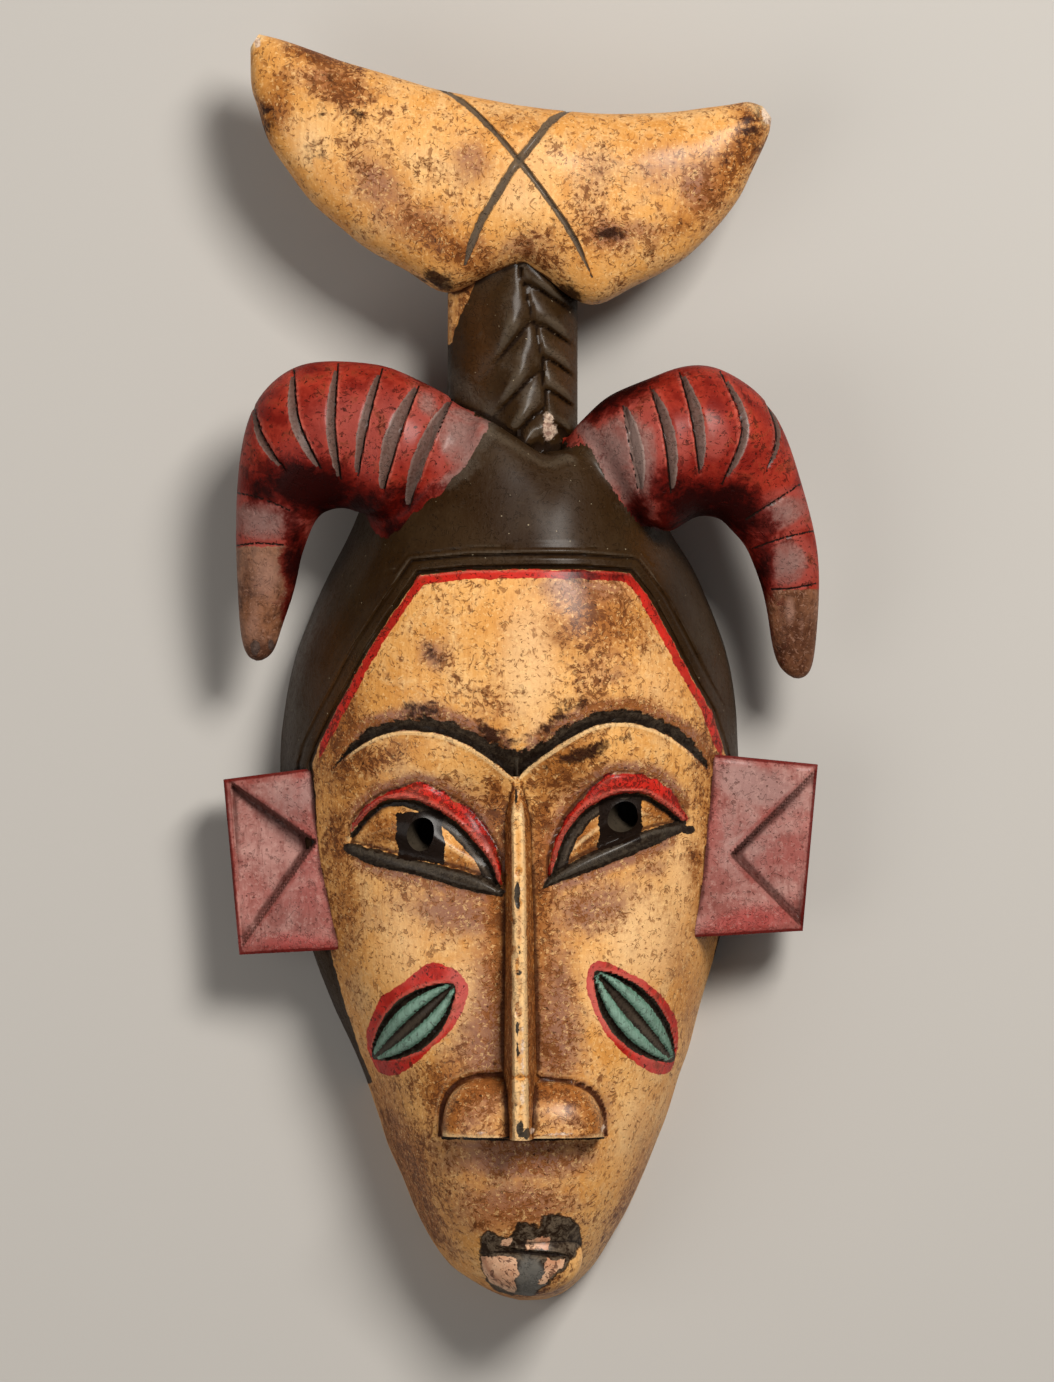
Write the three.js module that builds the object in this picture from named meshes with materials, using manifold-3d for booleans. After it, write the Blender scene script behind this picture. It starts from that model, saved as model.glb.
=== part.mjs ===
import * as THREE from 'three';
import { mergeVertices } from 'three/addons/utils/BufferGeometryUtils.js';
import Module from 'manifold-3d';

const wasm = await Module();
wasm.setup();

// A carved face mask with horns, ears, a neck and a crescent crest, all from one block of wood.
// Millimetres. X runs across the face, Y up to the crest, Z rises from the flat rim at the back.

const WALL = 11;
const PUPIL_RADIUS = 4.7;
const HEAD_FULLNESS = 2.6;
const CREST_MIDDLE_Z = 40;
const CREST_FULLNESS = 2.5;
const HORN_DEPTH_RATIO = 0.8;
const HORN_GROOVE = 0.07;
const NECK_MIDDLE_X = -2.5;
const NECK_MIDDLE_Z = 30;
const NECK_HALF_WIDTH = 22;
const NECK_HALF_DEPTH = 19;
const NOSE_RISE_TOP = 5;
const NOSE_RISE_TIP = 19;
const EAR_BACK_Z = 19;
const EAR_OUTER_Z = 35;
const EAR_INNER_Z = 43;
const EAR_RECESS = 9;
const RIM_OVERSHOOT = 5;

// Head: height on the mask, half width left, half width right, rise above the rim, share of the
// gable bend, then how far out the face ends on the left and on the right.
const HEAD = [
  [80.5, 30, 28, 14, 1, 16, 16],
  [80, 36, 33, 40, 1, 20, 20],
  [79.3, 40, 37, 54, 1, 24, 24],
  [78, 43, 39, 60, 1, 26, 26],
  [75.8, 45.5, 41.5, 63.5, 1, 28, 28],
  [71, 49, 44, 66.5, 0.8, 29, 30],
  [64.4, 53, 47.5, 69.5, 0.5, 30, 32],
  [54, 58, 51.6, 73, 0.2, 32, 34],
  [46, 62.4, 56.8, 75.3, 0, 33.7, 36],
  [44.8, 63.1, 57.5, 75.6, 0, 33.7, 36],
  [44, 63.5, 58, 75.8, 0, 33.7, 36],
  [42, 64.6, 59.2, 76.2, 0, 33.7, 36.4],
  [40.4, 65.3, 60, 76.6, 0, 33.7, 36.7],
  [39.4, 65.8, 60.5, 76.8, 0, 33.7, 36.9],
  [33, 68.8, 63.3, 78.3, 0, 38, 41.5],
  [24, 72.5, 67, 80, 0, 43.8, 47.3],
  [13, 76.6, 70.7, 80.9, 0, 51.2, 53],
  [2, 79.3, 73, 81, 0, 57, 58.6],
  [-8, 80.9, 74.1, 80.6, 0, 62.4, 65],
  [-16.5, 81.9, 74.5, 80, 0, 66.6, 68],
  [-24.6, 82.2, 74.8, 78.4, 0, 69.8, 70.1],
  [-36.7, 81.9, 74.8, 75, 0, 68.7, 70.1],
  [-50.2, 80.5, 74.1, 73, 0, 68.4, 70.1],
  [-63.7, 78.2, 72.8, 72.5, 0, 67.8, 69.8],
  [-77.2, 74.8, 70.4, 72.5, 0, 66, 68.5],
  [-89, 71.1, 67.1, 73, 0, 63.9, 65.9],
  [-107.5, 64, 61.6, 73, 0, 58.7, 60.8],
  [-122.7, 56.9, 57.6, 72, 0, 54.9, 56.8],
  [-131.1, 53.4, 54.6, 71.5, 0, 52.6, 53.8],
  [-144.9, 48.6, 50.3, 70, 0, 47.8, 49.5],
  [-155.4, 45.2, 46.2, 68, 0, 44.5, 45.4],
  [-165.5, 40.6, 42.1, 66, 0, 39.9, 41.3],
  [-177.3, 35.8, 36.7, 62, 0, 35.2, 36],
  [-186.7, 30.9, 31.3, 57, 0, 30.4, 30.7],
  [-195.8, 24.3, 25.6, 50, 0, 23.8, 25.1],
  [-201.5, 16.2, 20.2, 41, 0, 15.9, 19.8],
  [-205.6, 8.4, 15.2, 29, 0, 8.1, 14.9],
  [-207.9, 0.7, 10.1, 12, 0, 0.6, 9.9],
];
const FACE_TOP = 39.4;
const GABLE_MIDDLE_X = 9.4;
const GABLE_SLOPE = 0.6;

// Carved band around the face: distance out from the face, drop below the surface.
const HAIR_BAND = [[0, 0], [1, -2.1], [2.6, -0.6], [4.6, -0.6], [5.4, -1.4], [6.6, 0]];
const HAIR_BAND_ROOM = 9;

// Sunken places beside the top of the nose: middle, reach, depth.
const SOCKETS = [
  [-17, -42, 9, 4], [18, -40, 9, 4],
];

// Hollow at the back: height on the mask, share of the full hollow at that height.
const HOLLOW = [
  [66, 0.42], [61, 0.75], [52, 0.93], [39, 1], [17, 1], [-10, 1], [-37, 1], [-64, 1],
  [-89, 1], [-107, 1], [-123, 1], [-145, 1], [-165, 1], [-178, 0.88], [-186, 0.68], [-190, 0.4],
];

// Crest: upper edge point, lower edge point, half thickness.
const CREST = [
  [-88, 221.7, -91, 216.7, 4],
  [-81.6, 220.1, -90.7, 204.6, 8],
  [-76.2, 218.4, -88.6, 197.1, 10],
  [-67.4, 215.3, -84.9, 185.7, 12],
  [-60, 212.6, -78.5, 175.9, 13.5],
  [-47.5, 208.9, -70.1, 164.8, 15],
  [-37.7, 205.9, -60, 156, 16.5],
  [-28.6, 203.2, -51.2, 149, 17.5],
  [-20.2, 201.5, -38.8, 142.2, 18.5],
  [-11.8, 199.8, -24.9, 133.5, 19],
  [-1.3, 197.8, -9.4, 141, 19.5],
  [8.4, 196.5, 7, 139.4, 19.5],
  [18.5, 195.5, 23.6, 130.4, 19],
  [28.6, 194.8, 38.4, 136.5, 18.5],
  [40.4, 194.9, 53.6, 144.6, 17],
  [52.2, 195.5, 64.7, 154.7, 15],
  [62.3, 196.8, 73.5, 165.8, 13],
  [70.1, 197.8, 78.5, 175.9, 11],
  [76.8, 198.8, 83.6, 187, 8],
  [81.6, 197.5, 84.9, 193.1, 4],
];

// Horns from root to tip: outer edge point, inner edge point, height of the middle.
const LEFT_HORN = [
  [-3.4, 84.6, -16.9, 67.7, 38],
  [-10.4, 90, -27, 63.7, 41],
  [-16.9, 95, -32.4, 60.3, 43],
  [-22.6, 98.4, -39.1, 57.6, 45],
  [-28.3, 101.8, -43.1, 55.6, 46],
  [-34, 104.5, -47.2, 54.9, 47],
  [-40.1, 107.5, -50.2, 57, 48],
  [-46.2, 109.9, -53.2, 59.3, 48],
  [-53.6, 110.5, -56.6, 61.3, 48],
  [-61, 111.2, -60.3, 61.7, 48],
  [-69.1, 110.9, -62.7, 61.3, 48],
  [-76.5, 109.5, -64.7, 60.7, 47.5],
  [-84.2, 103.8, -67.1, 59.6, 47],
  [-90.3, 96.4, -68.7, 57.6, 46],
  [-94, 84.6, -70.4, 54.6, 45],
  [-95.7, 67.4, -71.8, 50.9, 43],
  [-95.7, 57.6, -73.1, 47.2, 42],
  [-96, 48.5, -74.5, 43.5, 41],
  [-95.4, 36.1, -75.5, 34.7, 39],
  [-95, 24.6, -78.5, 24.9, 37],
  [-93.7, 16.5, -82.2, 17.2, 35],
  [-91.3, 11.8, -85.6, 12.5, 34],
  [-89.6, 10.1, -88.3, 10.3, 33.5],
];
const LEFT_HORN_GROOVES = [3, 5, 7, 9, 11, 13, 15, 17];

const RIGHT_HORN = [
  [13.5, 84.6, 27, 67.7, 38],
  [20.2, 89.6, 34.4, 61.7, 41],
  [27, 98.7, 40.4, 56.6, 43],
  [34, 101.1, 44.5, 54.3, 45],
  [38.8, 103.5, 47.9, 53.2, 46],
  [43.8, 105.1, 50.9, 53.6, 47],
  [48.9, 107.5, 53.9, 55.3, 48],
  [53.9, 109.2, 57.6, 58, 48],
  [60.7, 110.2, 60.3, 59, 48],
  [67.4, 108.9, 63.7, 59, 48],
  [74.1, 104.8, 66.4, 58.3, 47.5],
  [80.2, 101.1, 68.4, 57.3, 47],
  [86.3, 93.3, 70.1, 55.3, 46.5],
  [91, 83.6, 71.8, 53.6, 46],
  [94.7, 70.1, 74.8, 50.6, 45],
  [97.1, 62.7, 76.8, 47.5, 44],
  [99.4, 53.6, 78.2, 44.1, 43],
  [100.8, 45.5, 79.9, 39.8, 42],
  [101.1, 36.1, 81.9, 34.4, 41],
  [100.8, 27, 83.6, 27, 39],
  [100.1, 17.2, 84.9, 18.2, 37],
  [98.4, 9.1, 86.6, 11.1, 35],
  [95.7, 4.7, 89.6, 6.4, 34],
];
const RIGHT_HORN_GROOVES = [3, 5, 7, 9, 11, 14, 16, 18];

// Lines of the carving on the front.
const CREST_CUT_DOWN_RIGHT = [
  [-27.6, 203.2], [-20.2, 198.8], [-11.5, 190.7], [-1.3, 178.9], [8.8, 165.8], [17.2, 153.3],
  [24.3, 138.8],
];
const CREST_CUT_DOWN_LEFT = [
  [16.9, 195.8], [11.1, 192.1], [6.1, 186], [-1.3, 176.6], [-8.8, 164.8], [-13.8, 156],
  [-18.5, 143.2],
];
const BRAID_MIDDLE = [
  [-0.3, 144.6], [2, 132.8], [5.4, 122.3], [7.4, 110.5], [8.1, 100.8], [8.8, 93.7],
];
const BRAID_STRANDS = [
  [[-18.9, 114.6], [-6.7, 122.3], [2.4, 128.1]],
  [[-12.5, 104.1], [-2, 110.2], [6.7, 114.9]],
  [[-3.7, 97.1], [3.4, 103.1], [7.8, 108.2]],
  [[-0.3, 139.5], [8.4, 136.1], [19.2, 128.4]],
  [[3.7, 126.4], [11.1, 120], [19.9, 112.2]],
  [[6.7, 115.3], [12.8, 108.5], [19.9, 100.4]],
];
const LEFT_BROW = [
  [-62.7, -26.3], [-58.3, -20.6], [-51.9, -15.5], [-46.2, -12.8], [-39.4, -11.1], [-31.3, -10.4],
  [-23.6, -12.1], [-16.2, -15.5], [-9.4, -19.5], [-4.7, -22.2], [-0.7, -23.6],
];
const RIGHT_BROW = [
  [63.7, -25.9], [60.7, -20.6], [53.9, -15.2], [46.2, -11.1], [38.4, -8.4], [30, -8.1],
  [21.2, -11.5], [12.8, -15.8], [5.4, -20.6], [-0.7, -23.6],
];
const LEFT_LID = [
  [-56.6, -47.5], [-51.9, -40.8], [-45.8, -36.1], [-37.7, -33.7], [-30, -35], [-22.9, -38.4],
  [-16.9, -43.5], [-12.1, -49.2], [-8.4, -56.3], [-6.7, -64.7],
];
const LEFT_LOWER_LID = [
  [-57.6, -52.9], [-45.2, -56.3], [-30.3, -60], [-16.9, -63.7], [-5.4, -67.4],
];
const RIGHT_LID = [
  [9.8, -61.3], [12.8, -50.2], [17.5, -41.8], [24.3, -35.4], [32, -31.3], [40.4, -31],
  [47.9, -34.4], [52.6, -39.1], [55.9, -44.1],
];
const RIGHT_LOWER_LID = [
  [8.4, -64], [21.2, -58], [32.4, -52.9], [43.5, -48.5], [54.6, -45.8],
];
const PUPILS = [
  [-34.4, -48.5], [33, -43.1],
];
const NOSE = [
  [-0.7, -24.6], [-0.3, -63.7], [0, -104.1], [0.3, -150.3],
];
const NOSE_WINGS = [
  [-5.4, -149.8, 20.4, 17.5], [4.7, -149.8, 23, 16.9],
];
const CHEEK_LEAVES = [
  [[-49.9, -124.4], [-21.6, -97.7]],
  [[24.9, -93.3], [52.2, -125.7]],
];
const MOUTH = [
  [-12.1, -187], [-3.4, -187.7], [6.1, -188.7], [14.2, -189.4],
];
const LEFT_EAR = [
  [-100.4, -30], [-72.1, -26.3], [-59, -24.6], [-52.2, -86.6], [-65, -87.3], [-95, -89.3],
];
const RIGHT_EAR = [
  [100.8, -24.9], [70.8, -21.6], [57.3, -20.6], [54.9, -83.2], [68.4, -82.2], [95.7, -81.2],
];
const LEFT_EAR_RECESS = [
  [-98.2, -30.8], [-69.1, -50.9], [-94.6, -87],
];
const RIGHT_EAR_RECESS = [
  [100.4, -26.6], [71.4, -55.3], [95.4, -79.5],
];

// Points across one head section: shares of the face, distances out through the hair band,
// then shares of what is left to the rim.
const FACE_COLUMNS = [0, 0.15, 0.3, 0.45, 0.6, 0.74, 0.87];
const SIDE_COLUMNS = [0.35, 0.65, 0.88, 1];
const HOLLOW_COLUMNS = [0, 0.22, 0.44, 0.64, 0.8, 0.92, 0.98, 1];
const CREST_SIDES = 16;
const HORN_SIDES = 12;
const NECK_SIDES = 20;

// A closed body from its points and triangles, with the faces turned outward.
function body(points, faces) {
  let volume = 0;
  for (const [a, b, c] of faces) {
    const [p, q, r] = [points[a], points[b], points[c]];
    volume += p[0] * (q[1] * r[2] - q[2] * r[1]);
    volume += p[1] * (q[2] * r[0] - q[0] * r[2]);
    volume += p[2] * (q[0] * r[1] - q[1] * r[0]);
  }
  const outward = volume > 0 ? faces : faces.map(([a, b, c]) => [a, c, b]);
  const mesh = new wasm.Mesh({
    numProp: 3,
    vertProperties: new Float32Array(points.flat()),
    triVerts: new Uint32Array(outward.flat()),
  });
  return new wasm.Manifold(mesh);
}

// A skin over closed sections that follow one another, capped at both ends.
function loft(rings) {
  const count = rings[0].length;
  const points = rings.flat();
  const faces = [];
  for (let i = 0; i + 1 < rings.length; i += 1) {
    for (let j = 0; j < count; j += 1) {
      const a = i * count + j;
      const b = i * count + ((j + 1) % count);
      faces.push([a, b, b + count], [a, b + count, a + count]);
    }
  }
  const last = (rings.length - 1) * count;
  const caps = [[0, rings[0]], [last, rings[rings.length - 1]]];
  for (const [start, ring] of caps) {
    const middle = [0, 1, 2].map((axis) => ring.reduce((sum, p) => sum + p[axis], 0) / count);
    const centre = points.push(middle) - 1;
    for (let j = 0; j < count; j += 1) {
      const a = start + j;
      const b = start + ((j + 1) % count);
      faces.push(start === 0 ? [b, a, centre] : [a, b, centre]);
    }
  }
  return body(points, faces);
}

// The same body from a standard geometry.
function fromGeometry(geometry) {
  geometry.deleteAttribute('normal');
  geometry.deleteAttribute('uv');
  const merged = mergeVertices(geometry);
  const position = merged.getAttribute('position');
  const points = [];
  for (let i = 0; i < position.count; i += 1) {
    points.push([position.getX(i), position.getY(i), position.getZ(i)]);
  }
  const index = merged.getIndex().array;
  const faces = [];
  for (let i = 0; i < index.length; i += 3) {
    faces.push([index[i], index[i + 1], index[i + 2]]);
  }
  return body(points, faces);
}

function toGeometry(solid) {
  const mesh = solid.getMesh();
  const geometry = new THREE.BufferGeometry();
  geometry.setAttribute('position', new THREE.BufferAttribute(mesh.vertProperties, 3));
  geometry.setIndex(new THREE.BufferAttribute(mesh.triVerts, 1));
  return mergeVertices(geometry);
}

function mix(from, to, share) {
  return from.map((value, i) => value + (to[i] - value) * share);
}

// One row of a table at a fractional place between its rows.
function rowAt(table, place) {
  const i = Math.min(Math.floor(place), table.length - 2);
  return mix(table[i], table[i + 1], place - i);
}

// The head's row at a height on the mask.
function headRowAt(y) {
  const i = HEAD.findIndex((row, k) => k + 1 < HEAD.length && y >= HEAD[k + 1][0]);
  const upper = HEAD[i];
  const lower = HEAD[i + 1];
  return mix(upper, lower, (upper[0] - y) / (upper[0] - lower[0]));
}

// Height of the plain arch at a share of its half width.
function arch(share) {
  return Math.sqrt(Math.max(0, 1 - share ** HEAD_FULLNESS));
}

// How far the hair band lies below the plain surface at a distance out from the face.
function bandDrop(distance) {
  const i = HAIR_BAND.findIndex(([out]) => out >= distance);
  if (i < 1) {
    return 0;
  }
  const [[from, a], [to, b]] = [HAIR_BAND[i - 1], HAIR_BAND[i]];
  return a + ((b - a) * (distance - from)) / (to - from);
}

// One half of a head section, from the middle out to the rim.
function halfSection([y, left, right, rise, bend, faceLeft, faceRight], side) {
  const half = side < 0 ? left : right;
  const face = side < 0 ? faceLeft : faceRight;
  const room = Math.min(1, (half - face) / HAIR_BAND_ROOM);
  const places = FACE_COLUMNS.map((share) => [face * share, 0]);
  for (const [out] of HAIR_BAND) {
    places.push([face + out * room, out]);
  }
  const edge = face + HAIR_BAND[HAIR_BAND.length - 1][0] * room;
  for (const share of SIDE_COLUMNS) {
    places.push([edge + (half - edge) * share, HAIR_BAND_ROOM]);
  }
  return places.map(([across, out]) => {
    const x = side * across;
    const share = arch(across / half);
    const drop = bandDrop(Math.max(out, y - FACE_TOP)) * (y > FACE_TOP ? 1 : room);
    const gable = bend * GABLE_SLOPE * Math.abs(x - GABLE_MIDDLE_X) * share;
    let z = rise * share + drop * share;
    for (const [middleX, middleY, reach, depth] of SOCKETS) {
      z -= depth * Math.exp(-((x - middleX) ** 2 + (y - middleY) ** 2) / (2 * reach ** 2));
    }
    return [x, y + gable, Math.max(0, z)];
  });
}

// A rounded oblong section between two edge points.
function oblongRing(first, second, middleZ, halfDepth, fullness, sides) {
  const ring = [];
  const power = 2 / fullness;
  for (let i = 0; i < sides; i += 1) {
    const angle = (2 * Math.PI * i) / sides;
    const across = Math.sign(Math.cos(angle)) * Math.abs(Math.cos(angle)) ** power;
    const deep = Math.sign(Math.sin(angle)) * Math.abs(Math.sin(angle)) ** power;
    const [x, y] = mix(second, first, (1 + across) / 2);
    ring.push([x, y, middleZ + halfDepth * deep]);
  }
  return ring;
}

function head() {
  return loft(HEAD.map((row) => [...halfSection(row, -1).slice(1).reverse(), ...halfSection(row, 1)]));
}

function hollow() {
  return loft(HOLLOW.map(([y, share]) => {
    const [, left, right, rise] = headRowAt(y);
    const [insideLeft, insideRight, insideRise] = [left, right, rise].map((size) => (size - WALL) * share);
    const height = (t) => -RIM_OVERSHOOT + (insideRise + RIM_OVERSHOOT) * arch(t);
    const rightSide = HOLLOW_COLUMNS.map((t) => [insideRight * t, y, height(t)]);
    const leftSide = HOLLOW_COLUMNS.slice(1).map((t) => [-insideLeft * t, y, height(t)]);
    return [...leftSide.reverse(), ...rightSide];
  }));
}

function crest() {
  return loft(CREST.map(([x1, y1, x2, y2, half]) => (
    oblongRing([x1, y1], [x2, y2], CREST_MIDDLE_Z, half, CREST_FULLNESS, CREST_SIDES)
  )));
}

// A ringed horn: each groove pinches the section and lets it swell again toward the tip.
function horn(table, grooves) {
  const places = table.map((row, i) => [i, grooves.includes(i) ? 1 - HORN_GROOVE : 1]);
  for (const groove of grooves) {
    places.push([groove - 0.25, 1]);
  }
  places.sort((a, b) => a[0] - b[0]);
  return loft(places.map(([place, size]) => {
    const [x1, y1, x2, y2, z] = rowAt(table, place);
    const middle = [(x1 + x2) / 2, (y1 + y2) / 2];
    const outer = mix(middle, [x1, y1], size);
    const inner = mix(middle, [x2, y2], size);
    const half = (Math.hypot(x1 - x2, y1 - y2) / 2) * HORN_DEPTH_RATIO * size;
    return oblongRing(outer, inner, z, half, 2, HORN_SIDES);
  }));
}

// The neck between the head and the crest.
function neck() {
  const levels = [68, 97, 122, 150];
  return loft(levels.map((y) => {
    const ring = [];
    for (let i = 0; i < NECK_SIDES; i += 1) {
      const angle = (2 * Math.PI * i) / NECK_SIDES;
      const across = NECK_HALF_WIDTH * Math.cos(angle);
      const deep = NECK_HALF_DEPTH * Math.sin(angle);
      ring.push([NECK_MIDDLE_X + across, y, NECK_MIDDLE_Z + deep]);
    }
    return ring;
  }));
}

// A flat-sided slab whose front leans, from the outline and the front height of each corner.
function slab(outline, backZ, frontZ) {
  const back = outline.map(([x, y]) => [x, y, backZ]);
  const front = outline.map(([x, y], i) => [x, y, frontZ[i]]);
  return loft([back, front]);
}

function ear(outline) {
  const front = [EAR_OUTER_Z, EAR_INNER_Z, EAR_INNER_Z, EAR_INNER_Z, EAR_INNER_Z, EAR_OUTER_Z];
  return slab(outline, EAR_BACK_Z, front);
}

// The hollow triangle of an ear, deepest at its inner corner.
function earRecess(corners) {
  const floor = [EAR_OUTER_Z - 1, EAR_INNER_Z - EAR_RECESS, EAR_OUTER_Z - 1];
  const open = corners.map(([x, y]) => [x, y, EAR_INNER_Z + RIM_OVERSHOOT]);
  return loft([corners.map(([x, y], i) => [x, y, floor[i]]), open]);
}

const uncut = head()
  .add(neck())
  .add(crest())
  .add(horn(LEFT_HORN, LEFT_HORN_GROOVES))
  .add(horn(RIGHT_HORN, RIGHT_HORN_GROOVES))
  .add(ear(LEFT_EAR))
  .add(ear(RIGHT_EAR));

const uncutMesh = new THREE.Mesh(toGeometry(uncut));
const probe = new THREE.Raycaster();
const downward = new THREE.Vector3(0, 0, -1);

// Height of the uncut front at a place on the mask.
function frontAt(x, y) {
  probe.set(new THREE.Vector3(x, y, 200), downward);
  const hit = probe.intersectObject(uncutMesh)[0];
  return hit ? hit.point.z : 0;
}

// A strip along a line on the front. The profile holds places across, from -1 to 1, each with
// its rise over the uncut surface. A cutter reaches up from the profile, a raised strip down.
function strip(line, samples, widthAt, profileAt, cuts) {
  const curve = new THREE.SplineCurve(line.map(([x, y]) => new THREE.Vector2(x, y)));
  const rings = [];
  for (let i = 0; i <= samples; i += 1) {
    const t = i / samples;
    const centre = curve.getPointAt(t);
    const along = curve.getTangentAt(t);
    const shaped = [];
    const plain = [];
    for (const [across, rise] of profileAt(t)) {
      const x = centre.x - along.y * across * widthAt(t);
      const y = centre.y + along.x * across * widthAt(t);
      const front = frontAt(x, y);
      shaped.push([x, y, front + rise]);
      plain.push([x, y, front + (cuts ? 7 : -4)]);
    }
    rings.push([...shaped, ...plain.reverse()]);
  }
  return loft(rings);
}

function groove(line, samples, halfWidth, depth) {
  const taper = (t) => halfWidth * Math.min(1, 0.35 + 4 * Math.min(t, 1 - t));
  const profile = [[-1, 0.4], [-0.3, -depth], [0.3, -depth], [1, 0.4]];
  return strip(line, samples, taper, () => profile, true);
}

// A brow: a sunken band with a crisp lower ledge and a soft upper side.
function brow(line, lowerSide) {
  const width = (t) => 1.8 + 3 * t + 1.2 * Math.sin(Math.PI * t);
  const profile = [[-lowerSide, 0.5], [-0.85 * lowerSide, -2.8], [0, -2.2], [lowerSide, 0.4]];
  return strip(line, 12, width, () => profile, true);
}

function lid(line) {
  const width = (t) => 1.4 + 1.3 * Math.sin(Math.PI * t);
  const profile = [[-1, -0.4], [-0.55, 1.5], [0.55, 1.5], [1, -0.4]];
  return strip(line, 12, width, () => profile, false);
}

function lowerLid(line) {
  const profile = [[-1, -0.4], [-0.5, 1.2], [0.5, 1.2], [1, -0.4]];
  return strip(line, 6, () => 1.7, () => profile, false);
}

function pupil([x, y]) {
  const drill = new THREE.CylinderGeometry(PUPIL_RADIUS, PUPIL_RADIUS, 120, 16);
  drill.rotateX(Math.PI / 2);
  drill.translate(x, y, 60);
  return fromGeometry(drill);
}

function noseRidge() {
  const rise = (t) => NOSE_RISE_TOP + (NOSE_RISE_TIP - NOSE_RISE_TOP) * t ** 0.8;
  const profile = (t) => [
    [-1, -0.6], [-0.85, 0.5 * rise(t)], [-0.45, 0.95 * rise(t)], [0, rise(t)],
    [0.45, 0.95 * rise(t)], [0.85, 0.5 * rise(t)], [1, -0.6],
  ];
  return strip(NOSE, 10, (t) => 4.3 + 2.1 * t, profile, false);
}

// Half a low dome on each side of the nose tip, flat along its lower edge.
function noseWing([x, y, halfWidth, halfHeight]) {
  const dome = new THREE.SphereGeometry(1, 14, 9);
  dome.rotateX(Math.PI / 2);
  dome.scale(halfWidth, halfHeight, 12);
  dome.translate(x, y, frontAt(x, y) - 1);
  const below = new THREE.BoxGeometry(80, 40, 60);
  below.translate(x, y - 20, 70);
  return fromGeometry(dome).subtract(fromGeometry(below));
}

// A leaf cut into the cheek, leaving two standing strips beside a middle groove.
function cheekLeaf(line) {
  const width = (t) => 0.6 + 7.4 * Math.sin(Math.PI * t) ** 0.8;
  const profile = [
    [-1, 0.4], [-0.84, -2.3], [-0.66, -0.5], [-0.2, -0.5], [0, -2.2],
    [0.2, -0.5], [0.66, -0.5], [0.84, -2.3], [1, 0.4],
  ];
  return strip(line, 12, width, () => profile, true);
}

// The small jutting mouth.
function lips() {
  const boss = new THREE.SphereGeometry(1, 14, 9);
  boss.rotateX(Math.PI / 2);
  boss.scale(17.3, 13.3, 13);
  boss.translate(3.8, -190.5, 46);
  return fromGeometry(boss);
}

let carved = uncut
  .add(noseRidge())
  .add(noseWing(NOSE_WINGS[0]))
  .add(noseWing(NOSE_WINGS[1]))
  .add(lips())
  .subtract(brow(LEFT_BROW, 1))
  .subtract(brow(RIGHT_BROW, -1))
  .add(lid(LEFT_LID))
  .add(lid(RIGHT_LID))
  .add(lowerLid(LEFT_LOWER_LID))
  .add(lowerLid(RIGHT_LOWER_LID))
  .subtract(groove(CREST_CUT_DOWN_RIGHT, 12, 1.7, 2.2))
  .subtract(groove(CREST_CUT_DOWN_LEFT, 10, 1.9, 2.2))
  .subtract(groove(BRAID_MIDDLE, 8, 1.6, 2))
  .subtract(groove(MOUTH, 5, 1.5, 1.8))
  .subtract(earRecess(LEFT_EAR_RECESS))
  .subtract(earRecess(RIGHT_EAR_RECESS));

for (const strand of BRAID_STRANDS) {
  carved = carved.subtract(groove(strand, 3, 1.6, 2));
}
for (const leaf of CHEEK_LEAVES) {
  carved = carved.subtract(cheekLeaf(leaf));
}
carved = carved.subtract(hollow());
for (const place of PUPILS) {
  carved = carved.subtract(pupil(place));
}

const wood = new THREE.MeshStandardMaterial({ color: 0xc99a55, roughness: 0.5, metalness: 0 });
const mask = new THREE.Mesh(toGeometry(carved), wood);
mask.name = 'mask';

const group = new THREE.Group();
group.add(mask);
const box = new THREE.Box3().setFromObject(group);
const centre = box.getCenter(new THREE.Vector3());
group.position.set(-centre.x, -centre.y, -box.min.z);

export default group;
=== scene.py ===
"""A carved and painted wooden face mask with horns, ears, a braided neck and a crescent crest.

It lies on the rim of its hollow back and the camera looks straight down on it. The carving is
worked out in millimetres over the face plane and becomes metres when a skin is made.
"""

import math
from types import SimpleNamespace

import bmesh
import bpy
import numpy as np
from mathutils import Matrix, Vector, bvhtree, kdtree, noise


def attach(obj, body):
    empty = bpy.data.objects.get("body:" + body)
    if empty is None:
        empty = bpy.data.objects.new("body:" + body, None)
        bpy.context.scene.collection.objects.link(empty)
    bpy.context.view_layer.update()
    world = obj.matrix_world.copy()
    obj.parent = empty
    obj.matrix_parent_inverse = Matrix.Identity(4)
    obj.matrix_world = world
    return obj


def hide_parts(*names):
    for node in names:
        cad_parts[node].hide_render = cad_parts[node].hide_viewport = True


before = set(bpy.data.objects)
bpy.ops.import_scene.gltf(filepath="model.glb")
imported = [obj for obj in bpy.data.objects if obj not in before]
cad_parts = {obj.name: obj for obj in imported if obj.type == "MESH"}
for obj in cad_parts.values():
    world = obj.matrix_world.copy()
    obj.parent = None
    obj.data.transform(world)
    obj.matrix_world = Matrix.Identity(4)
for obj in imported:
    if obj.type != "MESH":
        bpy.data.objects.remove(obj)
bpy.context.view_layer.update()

MM = 0.001
# The middle of the whole mask on the face plane, in millimetres.
MIDDLE_X = 0.32
MIDDLE_Y = 6.9

# Camera

CAMERA_HEIGHT = 2.6
FACE_LEVEL = 0.045
VIEW_X = 0.00204
VIEW_Y = -0.0069
VIEW_TALL = 0.4657
SENSOR = 36.0


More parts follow.
